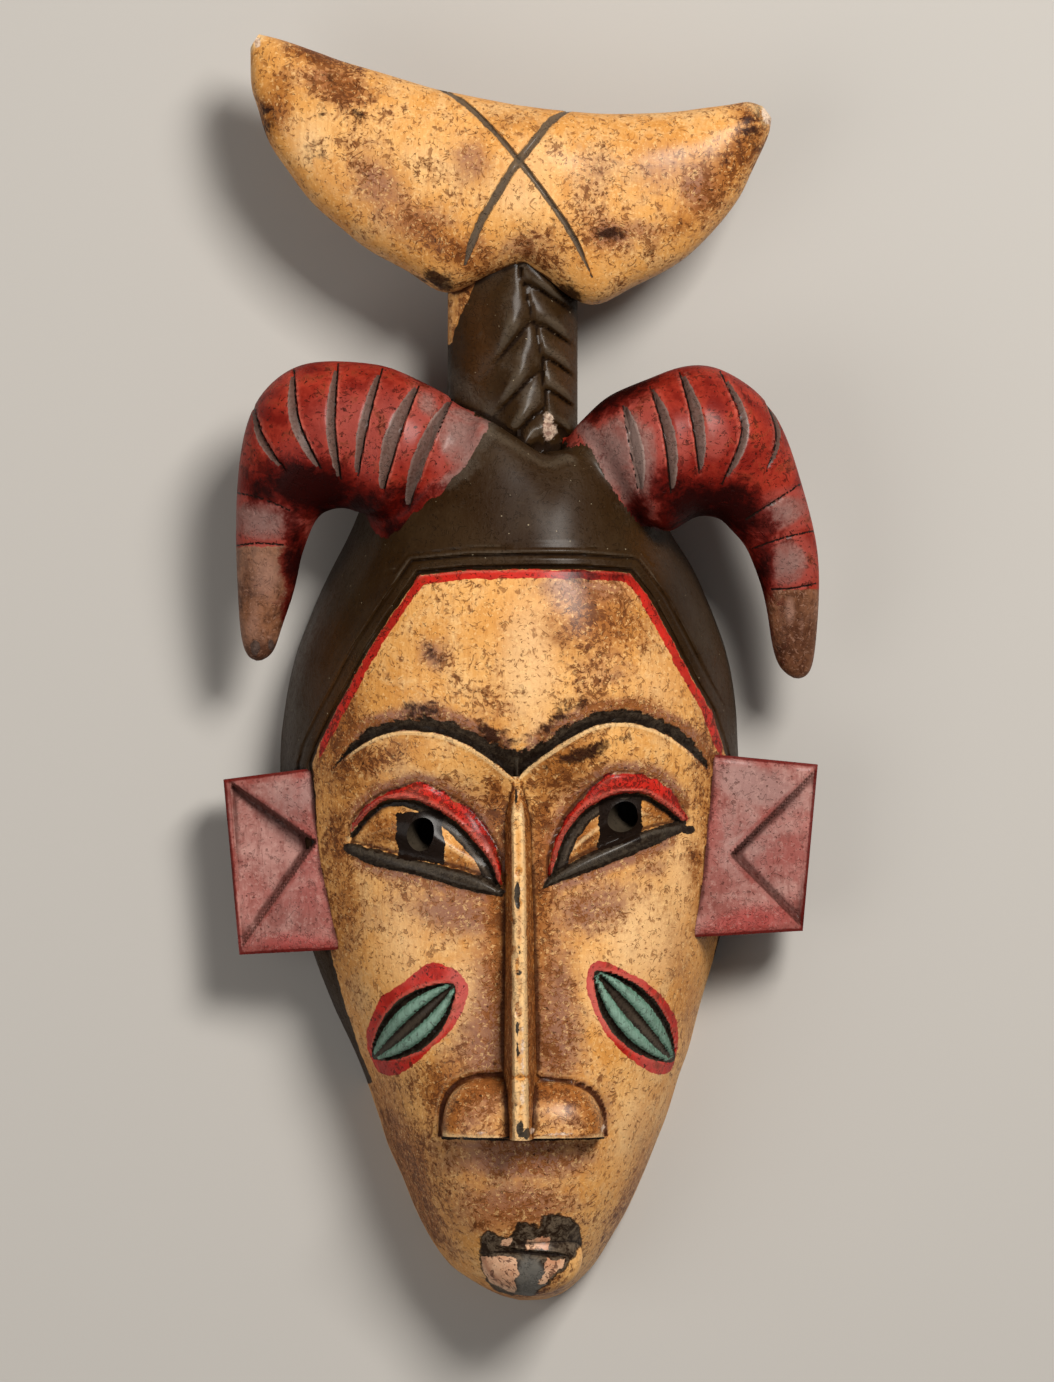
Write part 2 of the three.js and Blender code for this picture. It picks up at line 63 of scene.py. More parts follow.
def set_camera():
    """A long lens straight above the face, upright as the mask is seen when it hangs."""
    lens = bpy.data.cameras.new("camera")
    lens.sensor_fit = "VERTICAL"
    lens.sensor_height = SENSOR
    lens.lens = SENSOR * (CAMERA_HEIGHT - FACE_LEVEL) / VIEW_TALL
    camera = bpy.data.objects.new("camera", lens)
    camera.location = (VIEW_X, VIEW_Y, CAMERA_HEIGHT)
    bpy.context.collection.objects.link(camera)
    bpy.context.scene.camera = camera


set_camera()

# Sizes in millimetres

WALL = 11.0
RIM_OVERSHOOT = 5.0
HEAD_FULLNESS = 2.6
GABLE_MIDDLE_X = 9.4
GABLE_SLOPE = 0.6
GABLE_ROUNDING = 4.0
CREST_MIDDLE_Z = 40.0
CREST_FULLNESS = 2.5
HORN_DEPTH_RATIO = 0.8
NECK_MIDDLE = (-2.5, 30.0)
NECK_HALF = (22.0, 19.0)
NECK_FOOT_Y = 68
BRAID_FOOT_Y = 88
NECK_TOP_Y = 150
# The worn nub at the foot of the braid: middle, reach across, reach up, rise.
NUB = (9.4, 89, 2.6, 4.5, 2.2)
EAR_BACK_Z = 19.0
EAR_OUTER_Z = 35.0
EAR_INNER_Z = 43.0
EAR_RECESS = 9.0
EAR_RECESS_AT_MOUTH = 1.8
BROW_DEPTH = 2.6
LID_RISE = 2.0
EYE_BAR_RISE = 1.3
EYEBALL_DEPTH = 2.2
LEAF_DEPTH = 2.8
LEAF_STRIP = 2.6
BRAID_RISE = 4.2
WING_GROOVE_DEPTH = 1.5
KNIFE_MARKS = 0.22
CHISEL_MARKS = 0.8

# Head: height on the mask, half width left and right, rise, share of the gable bend, then how
# far out the face ends on the left and on the right.
HEAD = [
    (80.5, 30, 28, 14, 1, 16, 16),
    (80, 36, 33, 40, 1, 20, 20),
    (79.3, 40, 37, 54, 1, 24, 24),
    (78, 43, 39, 60, 1, 26, 26),
    (75.8, 45.5, 41.5, 63.5, 1, 28, 28),
    (71, 49, 44, 66.5, 0.8, 29, 30),
    (64.4, 53, 47.5, 69.5, 0.5, 30, 32),
    (54, 58, 51.6, 73, 0.2, 32, 34),
    (46, 62.4, 56.8, 75.3, 0, 33.7, 36),
    (39.4, 65.8, 60.5, 76.8, 0, 33.7, 36.9),
    (33, 68.8, 63.3, 78.3, 0, 38, 41.5),
    (24, 72.5, 67, 80, 0, 43.8, 47.3),
    (13, 76.6, 70.7, 80.9, 0, 51.2, 53),
    (2, 79.3, 73, 81, 0, 57, 58.6),
    (-8, 80.9, 74.1, 80.6, 0, 62.4, 65),
    (-16.5, 81.9, 74.5, 80, 0, 66.6, 68),
    (-24.6, 82.2, 74.8, 78.4, 0, 69.8, 70.1),
    (-36.7, 81.9, 74.8, 75, 0, 68.7, 70.1),
    (-50.2, 80.5, 74.1, 73, 0, 68.4, 70.1),
    (-63.7, 78.2, 72.8, 72.5, 0, 67.8, 69.8),
    (-77.2, 74.8, 70.4, 72.5, 0, 66, 68.5),
    (-89, 71.1, 67.1, 73, 0, 63.9, 65.9),
    (-107.5, 64, 61.6, 73, 0, 58.7, 60.8),
    (-122.7, 56.9, 57.6, 72, 0, 54.9, 56.8),
    (-131.1, 53.4, 54.6, 71.5, 0, 52.6, 53.8),
    (-144.9, 48.6, 50.3, 70, 0, 47.8, 49.5),
    (-155.4, 45.2, 46.2, 68, 0, 44.5, 45.4),
    (-165.5, 40.6, 42.1, 66, 0, 39.9, 41.3),
    (-177.3, 35.8, 36.7, 62, 0, 35.2, 36),
    (-186.7, 30.9, 31.3, 57, 0, 30.4, 30.7),
    (-195.8, 24.3, 25.6, 50, 0, 23.8, 25.1),
    (-201.5, 16.2, 20.2, 41, 0, 15.9, 19.8),
    (-205.6, 8.4, 15.2, 29, 0, 8.1, 14.9),
    (-207.9, 0.7, 10.1, 12, 0, 0.6, 9.9),
]
# Spacing of the head's sections: down to this height, this far apart.
HEAD_SPACING = [(79.0, 0.5), (48, 1.3), (38, 0.5), (-6, 1.5), (-70, 0.8), (-92, 1.6), (-130, 0.8),
                (-146, 1.4), (-152, 0.8), (-180, 1.4), (-202, 1.1), (-207.9, 0.7)]

# Hollow: height on the mask, share of the room inside the wall.
HOLLOW = [
    (66, 0.42), (61, 0.75), (52, 0.93), (39, 1), (17, 1), (-10, 1), (-37, 1), (-64, 1), (-89, 1),
    (-107, 1), (-123, 1), (-145, 1), (-165, 1), (-178, 0.88), (-186, 0.68), (-190, 0.4),
]

# Crest: upper edge point, lower edge point, half thickness.
CREST = [
    (-88, 221.7, -91, 216.7, 4),
    (-81.6, 220.1, -90.7, 204.6, 8),
    (-76.2, 218.4, -88.6, 197.1, 10),
    (-67.4, 215.3, -84.9, 185.7, 12),
    (-60, 212.6, -78.5, 175.9, 13.5),
    (-47.5, 208.9, -70.1, 164.8, 15),
    (-37.7, 205.9, -60, 156, 16.5),
    (-28.6, 203.2, -51.2, 149, 17.5),
    (-20.2, 201.5, -38.8, 142.2, 18.5),
    (-11.8, 199.8, -24.9, 134.5, 19),
    (-1.3, 197.8, -9.4, 140, 19.5),
    (2.5, 197.3, 0.3, 143.2, 19.5),
    (8.4, 196.5, 7, 139.4, 19.5),
    (18.5, 195.5, 23.6, 130.4, 19),
    (28.6, 194.8, 38.4, 136.5, 18.5),
    (40.4, 194.9, 53.6, 144.6, 17),
    (52.2, 195.5, 64.7, 154.7, 15),
    (62.3, 196.8, 73.5, 165.8, 13),
    (70.1, 197.8, 78.5, 175.9, 11),
    (76.8, 198.8, 83.6, 187, 8),
    (81.6, 197.5, 84.9, 193.1, 4),
]

# Horns from root to tip: outer edge point, inner edge point, height of the middle.
LEFT_HORN = [
    (-3.4, 84.6, -16.9, 67.7, 43),
    (-10.4, 90, -27, 63.7, 46),
    (-16.9, 95, -32.4, 60.3, 48),
    (-22.6, 98.4, -39.1, 57.6, 49),
    (-28.3, 101.8, -43.1, 55.6, 49.5),
    (-34, 104.5, -47.2, 54.9, 49.5),
    (-40.1, 107.5, -50.2, 57, 49),
    (-46.2, 109.9, -53.2, 59.3, 48),
    (-53.6, 110.5, -56.6, 61.3, 48),
    (-61, 111.2, -60.3, 61.7, 48),
    (-69.1, 110.9, -62.7, 61.3, 48),
    (-76.5, 109.5, -64.7, 60.7, 47.5),
    (-84.2, 103.8, -67.1, 59.6, 47),
    (-90.3, 96.4, -68.7, 57.6, 46),
    (-94, 84.6, -70.4, 54.6, 45),
    (-95.7, 67.4, -71.8, 50.9, 43),
    (-95.7, 57.6, -73.1, 47.2, 42),
    (-96, 48.5, -74.5, 43.5, 41),
    (-95.4, 36.1, -75.5, 34.7, 39),
    (-95, 24.6, -79.5, 24.9, 37),
    (-94.4, 18.5, -81.4, 19, 35.5),
    (-93.4, 14, -82.6, 14.8, 34.5),
    (-91.6, 11.4, -84.7, 12, 34),
    (-89.2, 10.2, -87.4, 10.4, 33.5),
]
RIGHT_HORN = [
    (13.5, 84.6, 27, 67.7, 43),
    (20.2, 89.6, 34.4, 61.7, 46),
    (27, 98.7, 40.4, 56.6, 48),
    (34, 101.1, 44.5, 54.3, 49),
    (38.8, 103.5, 47.9, 53.2, 49.5),
    (43.8, 105.1, 50.9, 53.6, 49.5),
    (48.9, 107.5, 53.9, 55.3, 49),
    (53.9, 109.2, 57.6, 58, 48),
    (60.7, 110.2, 60.3, 59, 48),
    (67.4, 108.9, 63.7, 59, 48),
    (74.1, 104.8, 66.4, 58.3, 47.5),
    (80.2, 101.1, 68.4, 57.3, 47),
    (86.3, 93.3, 70.1, 55.3, 46.5),
    (91, 83.6, 71.8, 53.6, 46),
    (94.7, 70.1, 74.8, 50.6, 45),
    (97.1, 62.7, 76.8, 47.5, 44),
    (99.4, 53.6, 78.2, 44.1, 43),
    (100.8, 45.5, 79.9, 39.8, 42),
    (101.1, 36.1, 81.9, 34.4, 41),
    (100.8, 27, 83.6, 27, 39),
    (100.1, 17.2, 84.7, 18.2, 37),
    (99.5, 11.6, 85.8, 12.6, 35.5),
    (98.6, 7.2, 87.6, 8.2, 34.5),
    (96.6, 5, 90.4, 5.7, 34),
    (94.4, 4.2, 92.6, 4.4, 33.5),
]
# Grooves across the horns, from the outer edge to the inner one.
LEFT_GROOVES = [
    [(-22.6, 98.4), (-30, 80.2), (-37.6, 60.5)],
    [(-33.6, 103.2), (-40.1, 84.9), (-46, 65.5)],
    [(-46, 109), (-50.6, 90.3), (-54.6, 70)],
    [(-61, 110.6), (-61.7, 88), (-59.8, 69)],
    [(-76, 108.6), (-73.8, 90.3), (-66, 73)],
    [(-90, 97), (-86, 85), (-78, 73)],
    [(-96, 66.9), (-87, 64.6), (-76, 60)],
    [(-96.2, 48.9), (-89, 49.6), (-79, 49)],
]
RIGHT_GROOVES = [
    [(34.2, 96.8), (36.6, 82), (39.9, 65.6)],
    [(43.4, 102.8), (48, 86), (50.6, 65.6)],
    [(53.4, 107.6), (57.2, 92), (60.1, 72.5)],
    [(67, 108), (74.3, 88), (67.4, 68.3)],
    [(82.4, 99), (86, 86), (82.3, 72)],
    [(95, 70), (86, 64), (75, 57)],
    [(99.6, 54), (89, 51.5), (77.5, 47.6)],
    [(100.4, 36.3), (92, 34.6), (84, 34.2)],
]
# Width of the flat facet beside each groove.
LEFT_BANDS = (5.0, 5.2, 3.2, 3.3, 3.3, 2.4, 0.8, 0.8)
RIGHT_BANDS = (4.6, 4.0, 4.2, 2.6, 1.8, 1.2, 0.8, 0.8)
GROOVE_DEPTH = 1.5
GROOVE_STEEP_SIDE = 0.35
GROOVE_REACH = 8.0
GROOVE_LOWEST_Z = 25
# A facet of this width or more is cut to the full depth.
GROOVE_FULL_WIDTH = 2.2
# Height on the mask below which each horn has lost its paint and above which its root fades.
HORN_TIP_LEVELS = (48.6, 34.3)
HORN_FADE_LEVELS = (62, 48)
# Where the red paint of the horns ends on the dome.
HORN_ROOTS = [
    [(-9.5, 93), (-10.4, 89.3), (-16.2, 77.2), (-27, 66.4), (-38, 57), (-45.5, 50), (-50, 55),
     (-57, 70), (-62, 100), (-30, 112)],
    [(20, 92), (22.2, 87.6), (29.7, 76.2), (35.4, 67.7), (40.1, 59), (46, 54), (52, 56),
     (57, 70), (62, 100), (30, 112)],
]

# The braid on the neck: its parting, then where its lobes end on the parting and how steeply
# they fall to the left and to the right.
PARTING = [(0, 144), (2, 132.8), (5.4, 122.3), (7.4, 110.5), (8.1, 100.8), (8.8, 86)]
LEFT_LOBES = (146, 127, 110.5, 97.5, 88)
RIGHT_LOBES = (152, 139.5, 125.7, 114.6, 103.8, 93)
LOBE_SLOPES = (1.08, 0.8)
# Ochre paint that runs from the crest down the left side of the neck.
TONGUE = [(-27, 142), (-14.5, 142), (-16, 134), (-19.2, 130), (-21, 124), (-23, 118), (-27, 116)]

# The face inside the hair band: its left edge and right edge upward, its top edge rightward.
FACE_LEFT = [
    (-60, -215), (-60, -140), (-49.9, -132.8), (-53.6, -124.4), (-60, -104.1), (-64.7, -85.6),
    (-68.1, -60.3), (-68.7, -36.7), (-69.8, -24.6), (-67.4, -17.5), (-62.3, -7.8), (-56.3, 3),
    (-50.6, 13.8), (-42.5, 25.9), (-33.7, 38.4), (-17, 62),
]
FACE_RIGHT = [
    (66, -215), (70, -110), (66, -92), (68.1, -80.5), (70.4, -60.3), (70.1, -23.9), (68.1, -16.9),
    (64.4, -6.7), (57.3, 5.1), (49.5, 19.9), (42.8, 31.7), (36.7, 39.4), (18, 63),
]
FACE_TOP = [(-70, 35.5), (-33.7, 38.6), (-16.9, 40.1), (1.7, 40.4), (20.2, 40.4), (36.7, 39.4),
            (70, 36)]
# Steps of the hair band: distance out from the face, drop.
HAIR_BAND = [(0, 0), (0.5, -1.9), (1.2, -2.2), (1.9, -0.8), (4.0, -0.5), (4.6, -1.3),
             (5.1, -1.4), (5.7, -0.1), (6.8, 0.1), (7.4, -0.5), (8.0, 0)]

CREST_CUTS = [
    [(-29.5, 204.2), (-27.6, 203.2), (-20.2, 198.8), (-11.5, 190.7), (-1.3, 178.9), (8.8, 165.8),
     (17.2, 153.3), (24.3, 138.8)],
    [(18.2, 196.5), (16.9, 195.8), (11.1, 192.1), (6.1, 186), (-1.3, 176.6), (-8.8, 164.8),
     (-13.8, 156), (-18.5, 143.2)],
]
CREST_CUT_WIDTHS = (1.25, 1.75)
CREST_CUT_DEPTH = 1.5

LEFT_BROW_LOWER = [
    (-62.7, -26.3), (-58.3, -21.9), (-52.6, -17.9), (-47.5, -15.2), (-40.8, -13.5), (-33, -13.5),
    (-25.3, -14.8), (-17.2, -18.2), (-10.1, -22.6), (-4.7, -27), (-1, -29.7),
]
LEFT_BROW_UPPER = [
    (-62.7, -25.3), (-61, -23.3), (-56.3, -16.9), (-51.9, -12.8), (-45.2, -10.1), (-38.4, -8.8),
    (-30.3, -7.8), (-22.2, -9.8), (-15.8, -12.8), (-9.1, -16.2), (-0.6, -20.2),
]
RIGHT_BROW_LOWER = [
    (-1, -29.7), (1.7, -26.3), (7.8, -21.6), (15.5, -16.5), (24.6, -11.8), (34.4, -10.4),
    (40.8, -11.5), (49.2, -14.8), (56.3, -19.9), (63.5, -27),
]
RIGHT_BROW_UPPER = [
    (-0.6, -20.2), (8.8, -14.8), (17.2, -10.1), (26.6, -6.7), (35, -5.7), (43.5, -7.4),
    (51.9, -11.5), (57.6, -15.8), (63, -23.3), (64, -26.3),
]
LEFT_EYE_TOP = [
    (-56.6, -47.9), (-52.9, -43.5), (-49.2, -39.8), (-45.5, -37.1), (-41.1, -36.4),
    (-35.7, -36.7), (-30, -38.8), (-24.6, -41.8), (-19.2, -46.2), (-14.5, -51.6), (-10.4, -57),
    (-7.4, -64),
]
LEFT_LID_TOP = [
    (-57.2, -47), (-54.5, -41.5), (-50.2, -37.1), (-45.2, -34), (-40.8, -32.7), (-33.7, -30.7),
    (-30, -31.7), (-25.6, -34), (-20.2, -37.1), (-15.5, -40.8), (-11.8, -45.8), (-8.4, -51.2),
    (-6.7, -57), (-5.6, -65),
]
LEFT_BAR_TOP = [(-57.6, -51.2), (-40.8, -55.3), (-26.3, -58.6), (-11.8, -63), (-5.4, -66.7)]
LEFT_BAR_BOTTOM = [(-58, -54.3), (-49.2, -58), (-33, -61.7), (-19.9, -65.7), (-5.4, -68.6)]
RIGHT_EYE_TOP = [
    (11.1, -60.7), (12.5, -55.6), (14.8, -49.2), (17.9, -44.5), (22.2, -39.8), (26.6, -37.1),
    (32.4, -34.7), (36.7, -34.4), (41.8, -34.7), (46.8, -37.7), (51.2, -41.1), (54.6, -44.5),
]
RIGHT_LID_TOP = [
    (9.4, -63), (10.2, -55), (12.6, -47.5), (15.6, -42), (18.8, -38), (23, -33), (29.7, -28),
    (38.1, -27.6), (45.2, -29.3), (49.5, -32), (53.6, -37.7), (57, -43.1),
]
RIGHT_BAR_TOP = [(9.4, -62.3), (21.2, -55.6), (32.4, -50.9), (43.5, -46.5), (55.5, -44)]
RIGHT_BAR_BOTTOM = [(7.8, -65.7), (21.2, -60.7), (38.1, -54.3), (54.6, -47.2)]
# Brows: lower edge, upper edge. Eyes: top of the ball, top of the lid, both edges of the bar.
BROWS = [(LEFT_BROW_LOWER, LEFT_BROW_UPPER), (RIGHT_BROW_LOWER, RIGHT_BROW_UPPER)]
EYES = [(LEFT_EYE_TOP, LEFT_LID_TOP, LEFT_BAR_TOP, LEFT_BAR_BOTTOM),
        (RIGHT_EYE_TOP, RIGHT_LID_TOP, RIGHT_BAR_TOP, RIGHT_BAR_BOTTOM)]
EYE_LEVEL = 72.0
PUPIL_TURN = 0.35
# Pupils: middle, half width, half height, lean of the drill.
PUPILS = [(-34.2, -48.7, 4.6, 5.9, 0.3), (33, -43.1, 4.6, 5.4, 0.3)]

CHEEK_LEAVES = [
    [(-49.9, -124.4), (-21.6, -97.7)],
    [(24.9, -93.3), (52.2, -125.7)],
]
LEAF_HALF_WIDTH = 8.2
LEAF_RINGS = [
    [(-51.6, -114.2), (-49.9, -109.5), (-46.5, -102.8), (-39.8, -98.1), (-34.7, -93.7),
     (-28.3, -90.7), (-25.6, -91.7), (-20.9, -93.3), (-17.2, -99.1), (-18.5, -104.8),
     (-20.9, -110.2), (-24.3, -114.9), (-29.7, -119.6), (-35.4, -125), (-40.8, -128.7),
     (-46.5, -129.4), (-49.9, -126), (-51.6, -120.3)],
    [(24.6, -90.3), (29, -90.7), (36.1, -94), (42.8, -97.7), (47.9, -103.1), (52.2, -109.2),
     (53.6, -116.6), (52.9, -123.3), (50.6, -129.1), (47.2, -129.4), (41.1, -126.4),
     (34.4, -121), (28, -113.2), (23.9, -104.5), (22.2, -97.7)],
]

NOSE = [(-0.9, -28.5), (-0.3, -63.7), (0, -104.1), (0.3, -149.0)]
NOSE_RISE = (5.0, 19.0)
NOSE_CHIPPED_EDGE = -148.3
NOSE_UNDERLINE = -149.6
WING_RISE = 12
# Wings of the nose: middle of the lower edge, half width, height up the face.
NOSE_WINGS = [(-5.4, -148.5, 20.4, 19.7), (4.7, -148.7, 23, 18.4)]
# Middle of the lips, then half their width, height and depth.
LIPS = (3.8, -190.5, 46.0, 17.3, 13.3, 13.0)
MOUTH = [(-14, -186.6), (-12.1, -187), (-3.4, -187.7), (6.1, -188.7), (14.2, -189.4),
         (16.5, -189.8)]
MOUTH_CUT_WIDTH = 1.2
MOUTH_CUT_DEPTH = 1.6
# Eye sockets beside the nose: middle, reach, depth.
SOCKETS = [(-17, -42, 9, 4), (18, -40, 9, 4)]

LEFT_EAR = [(-100.4, -30), (-59, -24.6), (-52.2, -86.6), (-95, -89.3)]
RIGHT_EAR = [(100.8, -24.9), (57.3, -20.6), (54.9, -83.2), (95.7, -81.2)]
LEFT_EAR_RECESS = [(-98.2, -30.8), (-69.1, -50.9), (-94.6, -87)]
RIGHT_EAR_RECESS = [(100.4, -26.6), (71.4, -55.3), (95.4, -79.5)]
EARS = [(LEFT_EAR, LEFT_EAR_RECESS), (RIGHT_EAR, RIGHT_EAR_RECESS)]

# Lines and outlines


def smooth(knots, values, places, steady=False):
    """Smooth curve through the values. A steady one never swings past its knots."""
    knots = np.asarray(knots, float)
    values = np.asarray(values, float)
    if knots[0] > knots[-1]:
        knots, values = knots[::-1], values[::-1]
    if values.ndim == 1:
        return smooth(knots, values[:, None], places, steady)[:, 0]
    gaps = np.diff(knots)[:, None]
    rates = np.diff(values, axis=0) / gaps
    slopes = np.empty_like(values)
    slopes[0], slopes[-1] = rates[0], rates[-1]
    before, after = rates[:-1], rates[1:]
    if steady:
        total = before + after
        same_way = before * after > 0
        slopes[1:-1] = np.where(same_way, 2 * before * after / np.where(same_way, total, 1), 0)
    else:
        slopes[1:-1] = (before * gaps[1:] + after * gaps[:-1]) / (gaps[1:] + gaps[:-1])
    places = np.clip(places, knots[0], knots[-1])
    cell = np.clip(np.searchsorted(knots, places) - 1, 0, len(knots) - 2)
    t = ((places - knots[cell]) / gaps[cell, 0])[:, None]
    start, end = values[cell], values[cell + 1]
    pull, push = slopes[cell] * gaps[cell], slopes[cell + 1] * gaps[cell]
    curve = (2 * t**3 - 3 * t**2 + 1) * start + (t**3 - 2 * t**2 + t) * pull
    return curve + (3 * t**2 - 2 * t**3) * end + (t**3 - t**2) * push


def line_through(points, count):
    """Evenly spread points on a smooth line through the given ones."""
    points = np.asarray(points, float)
    steps = np.hypot(*np.diff(points, axis=0).T)
    along = np.concatenate([[0], np.cumsum(steps)])
    return smooth(along, points, np.linspace(0, along[-1], count))


def circle(count):
    """Evenly spread turns all the way round."""
    return np.linspace(0, 2 * np.pi, count + 1)[:-1]


def ease(low, high, value):
    """0 below low, 1 above high, smooth between."""
    t = np.clip((value - low) / (high - low), 0, 1)
    return t * t * (3 - 2 * t)


def near_line(line, x, y, reach=14.0):
    """Distance to a line, share along it and signed side, for the places within reach of it."""
    line = np.asarray(line, float)
    gap = np.full(x.shape, 99.0)
    share = np.zeros(x.shape)
    side = np.ones(x.shape)
    low, high = line.min(axis=0) - reach, line.max(axis=0) + reach
    close = (x > low[0]) & (x < high[0]) & (y > low[1]) & (y < high[1])
    px, py = x[close], y[close]
    best, at, turn = np.full(px.shape, 99.0), np.zeros(px.shape), np.ones(px.shape)
    steps = np.hypot(*np.diff(line, axis=0).T)
    walked = 0.0
    for (ax, ay), (bx, by), step in zip(line[:-1], line[1:], steps):
        dx, dy = (bx - ax) / step, (by - ay) / step
        t = np.clip((px - ax) * dx + (py - ay) * dy, 0, step)
        away = np.hypot(px - ax - t * dx, py - ay - t * dy)
        nearer = away < best
        best = np.where(nearer, away, best)
        at = np.where(nearer, walked + t, at)
        turn = np.where(nearer, np.sign(dx * (py - ay) - dy * (px - ax)), turn)
        walked += step
    gap[close], share[close], side[close] = best, at / walked, turn
    return gap, share, side


def depth_in(outline, x, y, reach=14.0):
    """Distance to a closed outline, positive inside it and negative outside."""
    outline = np.asarray(outline, float)
    closed = np.vstack([outline, outline[:1]])
    gap, _, _ = near_line(closed, x, y, reach)
    inside = np.zeros(x.shape, bool)
    for (ax, ay), (bx, by) in zip(closed[:-1], closed[1:]):
        crosses = (ay > y) != (by > y)
        slope = (bx - ax) / (by - ay if by != ay else 1e-9)
        inside ^= crosses & (x < ax + slope * (y - ay))
    return np.where(inside, gap, -gap)


def closed_line(points, count):
    """A smooth closed outline."""
    around = list(points[-2:]) + list(points) + list(points[:2])
    steps = np.hypot(*np.diff(np.asarray(around, float), axis=0).T)
    along = np.concatenate([[0], np.cumsum(steps)])
    start, end = along[2], along[-2]
    return smooth(along, around, np.linspace(start, end, count, endpoint=False))


def uneven(points, scale, seed=0.0):
    """Gentle unevenness between -1 and 1 at each point, humps of about the given size apart."""
    shift = Vector((seed, 1.7 * seed, -seed))
    return np.array([noise.noise(Vector(p) / scale + shift) for p in points.tolist()])


# Skins

# Sections along the crest and each horn, and how often a horn's sections are evened out.
CREST_ROWS = 110
HORN_ROWS = 190
HORN_SMOOTHINGS = 60

# What each face of the finished block was carved as.
HEAD_PART, NOSE_PART, LIPS_PART, EAR_PART, NECK_PART, CREST_PART, HORN_PART, HOLLOW_PART, \
    HOLE_PART = range(1, 10)


def make_object(name, points, faces, part):
    """A mesh object from points in millimetres on the face plane."""
    placed = (np.asarray(points, float) - (MIDDLE_X, MIDDLE_Y, 0)) * MM
    mesh = bpy.data.meshes.new(name)
    mesh.from_pydata(placed.tolist(), [], faces)
    mesh.update()
    label = mesh.attributes.new("part", "INT", "FACE")
    label.data.foreach_set("value", [part] * len(mesh.polygons))
    obj = bpy.data.objects.new(name, mesh)
    bpy.context.collection.objects.link(obj)
    return obj


def skin(name, rings, part):
    """A closed skin over sections that follow one another, capped at both ends."""
    rings = np.asarray(rings, float)
    rows, around, _ = rings.shape
    points = rings.reshape(-1, 3)
    i, j = np.meshgrid(np.arange(rows - 1), np.arange(around), indexing="ij")
    a = (i * around + j).ravel()
    b = (i * around + (j + 1) % around).ravel()
    faces = np.stack([a, b, b + around, a + around], axis=1).tolist()
    ends = np.array([rings[0].mean(axis=0), rings[-1].mean(axis=0)])
    points = np.vstack([points, ends])
    first, last, final = rows * around, rows * around + 1, (rows - 1) * around
    for k in range(around):
        nxt = (k + 1) % around
        faces.append([nxt, k, first])
        faces.append([final + k, final + nxt, last])
    corners = points[[f[:3] for f in faces]]
    volume = np.einsum("ij,ij->i", corners[:, 0], np.cross(corners[:, 1], corners[:, 2])).sum()
    if volume < 0:
        faces = [f[::-1] for f in faces]
    return make_object(name, points, faces, part)


def combine(target, tool, operation):
    """Join a second solid to the first or cut it away."""
    change = target.modifiers.new("work", "BOOLEAN")
    change.operation = operation
    change.solver = "MANIFOLD"
    change.object = tool
    bake_modifiers(target)
    bpy.data.objects.remove(tool)


def bake_modifiers(obj):
    """Keep the shape that the modifiers make as the object's own mesh."""
    bpy.context.view_layer.update()
    graph = bpy.context.evaluated_depsgraph_get()
    made = bpy.data.meshes.new_from_object(obj.evaluated_get(graph))
    obj.modifiers.clear()
    obj.data = made


def places_of(obj):
    """The object's points in millimetres on the face plane."""
    flat = np.empty(len(obj.data.vertices) * 3)
    obj.data.vertices.foreach_get("co", flat)
    return flat.reshape(-1, 3) / MM + (MIDDLE_X, MIDDLE_Y, 0)


# The head and its relief


def arch(share):
    """Height of the head's rounded section, from 1 in the middle to 0 at the edge."""
    return np.sqrt(np.clip(1 - np.abs(share) ** HEAD_FULLNESS, 0, None))


def head_rows(heights):
    """The measures of the head at these heights."""
    table = np.array(HEAD, float)
    return smooth(table[:, 0], table, heights, steady=True)


def between(lower, upper, x, y):
    """Share of the way from the lower line to the upper one, and the depth inside the two."""
    low = line_through(lower, 60)
    high = line_through(upper, 60)
    to_low, _, _ = near_line(low, x, y)
    to_high, _, _ = near_line(high, x, y)
    depth = depth_in(np.vstack([low, high[::-1]]), x, y)
    return to_low / np.maximum(to_low + to_high, 1e-6), depth, to_low


def brow_relief(lower, upper, x, y):
    """A sunken band, steep at its lower edge and soft above, with a lip standing under it."""
    share, depth, to_low = between(lower, upper, x, y)
    sunk = -BROW_DEPTH * ease(0, 0.6, depth) * (1 - 0.75 * ease(0.15, 1, share))
    lip = 0.5 * np.exp(-((to_low - 0.7) / 0.8) ** 2) * (depth < 0)
    return sunk + lip


def eye_relief(eye_top, lid_top, bar_top, bar_bottom, x, y):
    """Upper lid and lower bar standing proud of a sunken, gently domed eyeball."""
    lid_share, lid, to_rim = between(eye_top, lid_top, x, y)
    _, bar, _ = between(bar_bottom, bar_top, x, y)
    _, ball, _ = between(bar_top, eye_top, x, y)
    raised_lid = LID_RISE * ease(0, 1.2, lid) * (1 - 0.6 * ease(0.35, 1, lid_share))
    raised_lid += 0.6 * np.exp(-((to_rim - 0.9) / 0.7) ** 2) * (lid > 0)
    raised_bar = EYE_BAR_RISE * ease(0, 1.2, bar)
    edge = 0.6 * ease(-2.2, 0, lid) * (lid < 0) * (ball < 0)
    sunk_ball = (-EYEBALL_DEPTH + 2.8 * ease(0, 9, ball)) * ease(0, 0.8, ball)
    return raised_lid + raised_bar + sunk_ball - edge


def leaf_place(axis, x, y):
    """Share along a cheek leaf and signed share across it."""
    (ax, ay), (bx, by) = axis
    length = math.hypot(bx - ax, by - ay)
    ux, uy = (bx - ax) / length, (by - ay) / length
    along = ((x - ax) * ux + (y - ay) * uy) / length
    across = (x - ax) * -uy + (y - ay) * ux
    width = LEAF_HALF_WIDTH * np.sin(np.pi * np.clip(along, 0.001, 0.999)) ** 0.75
    return along, across / np.maximum(width, 0.3), width


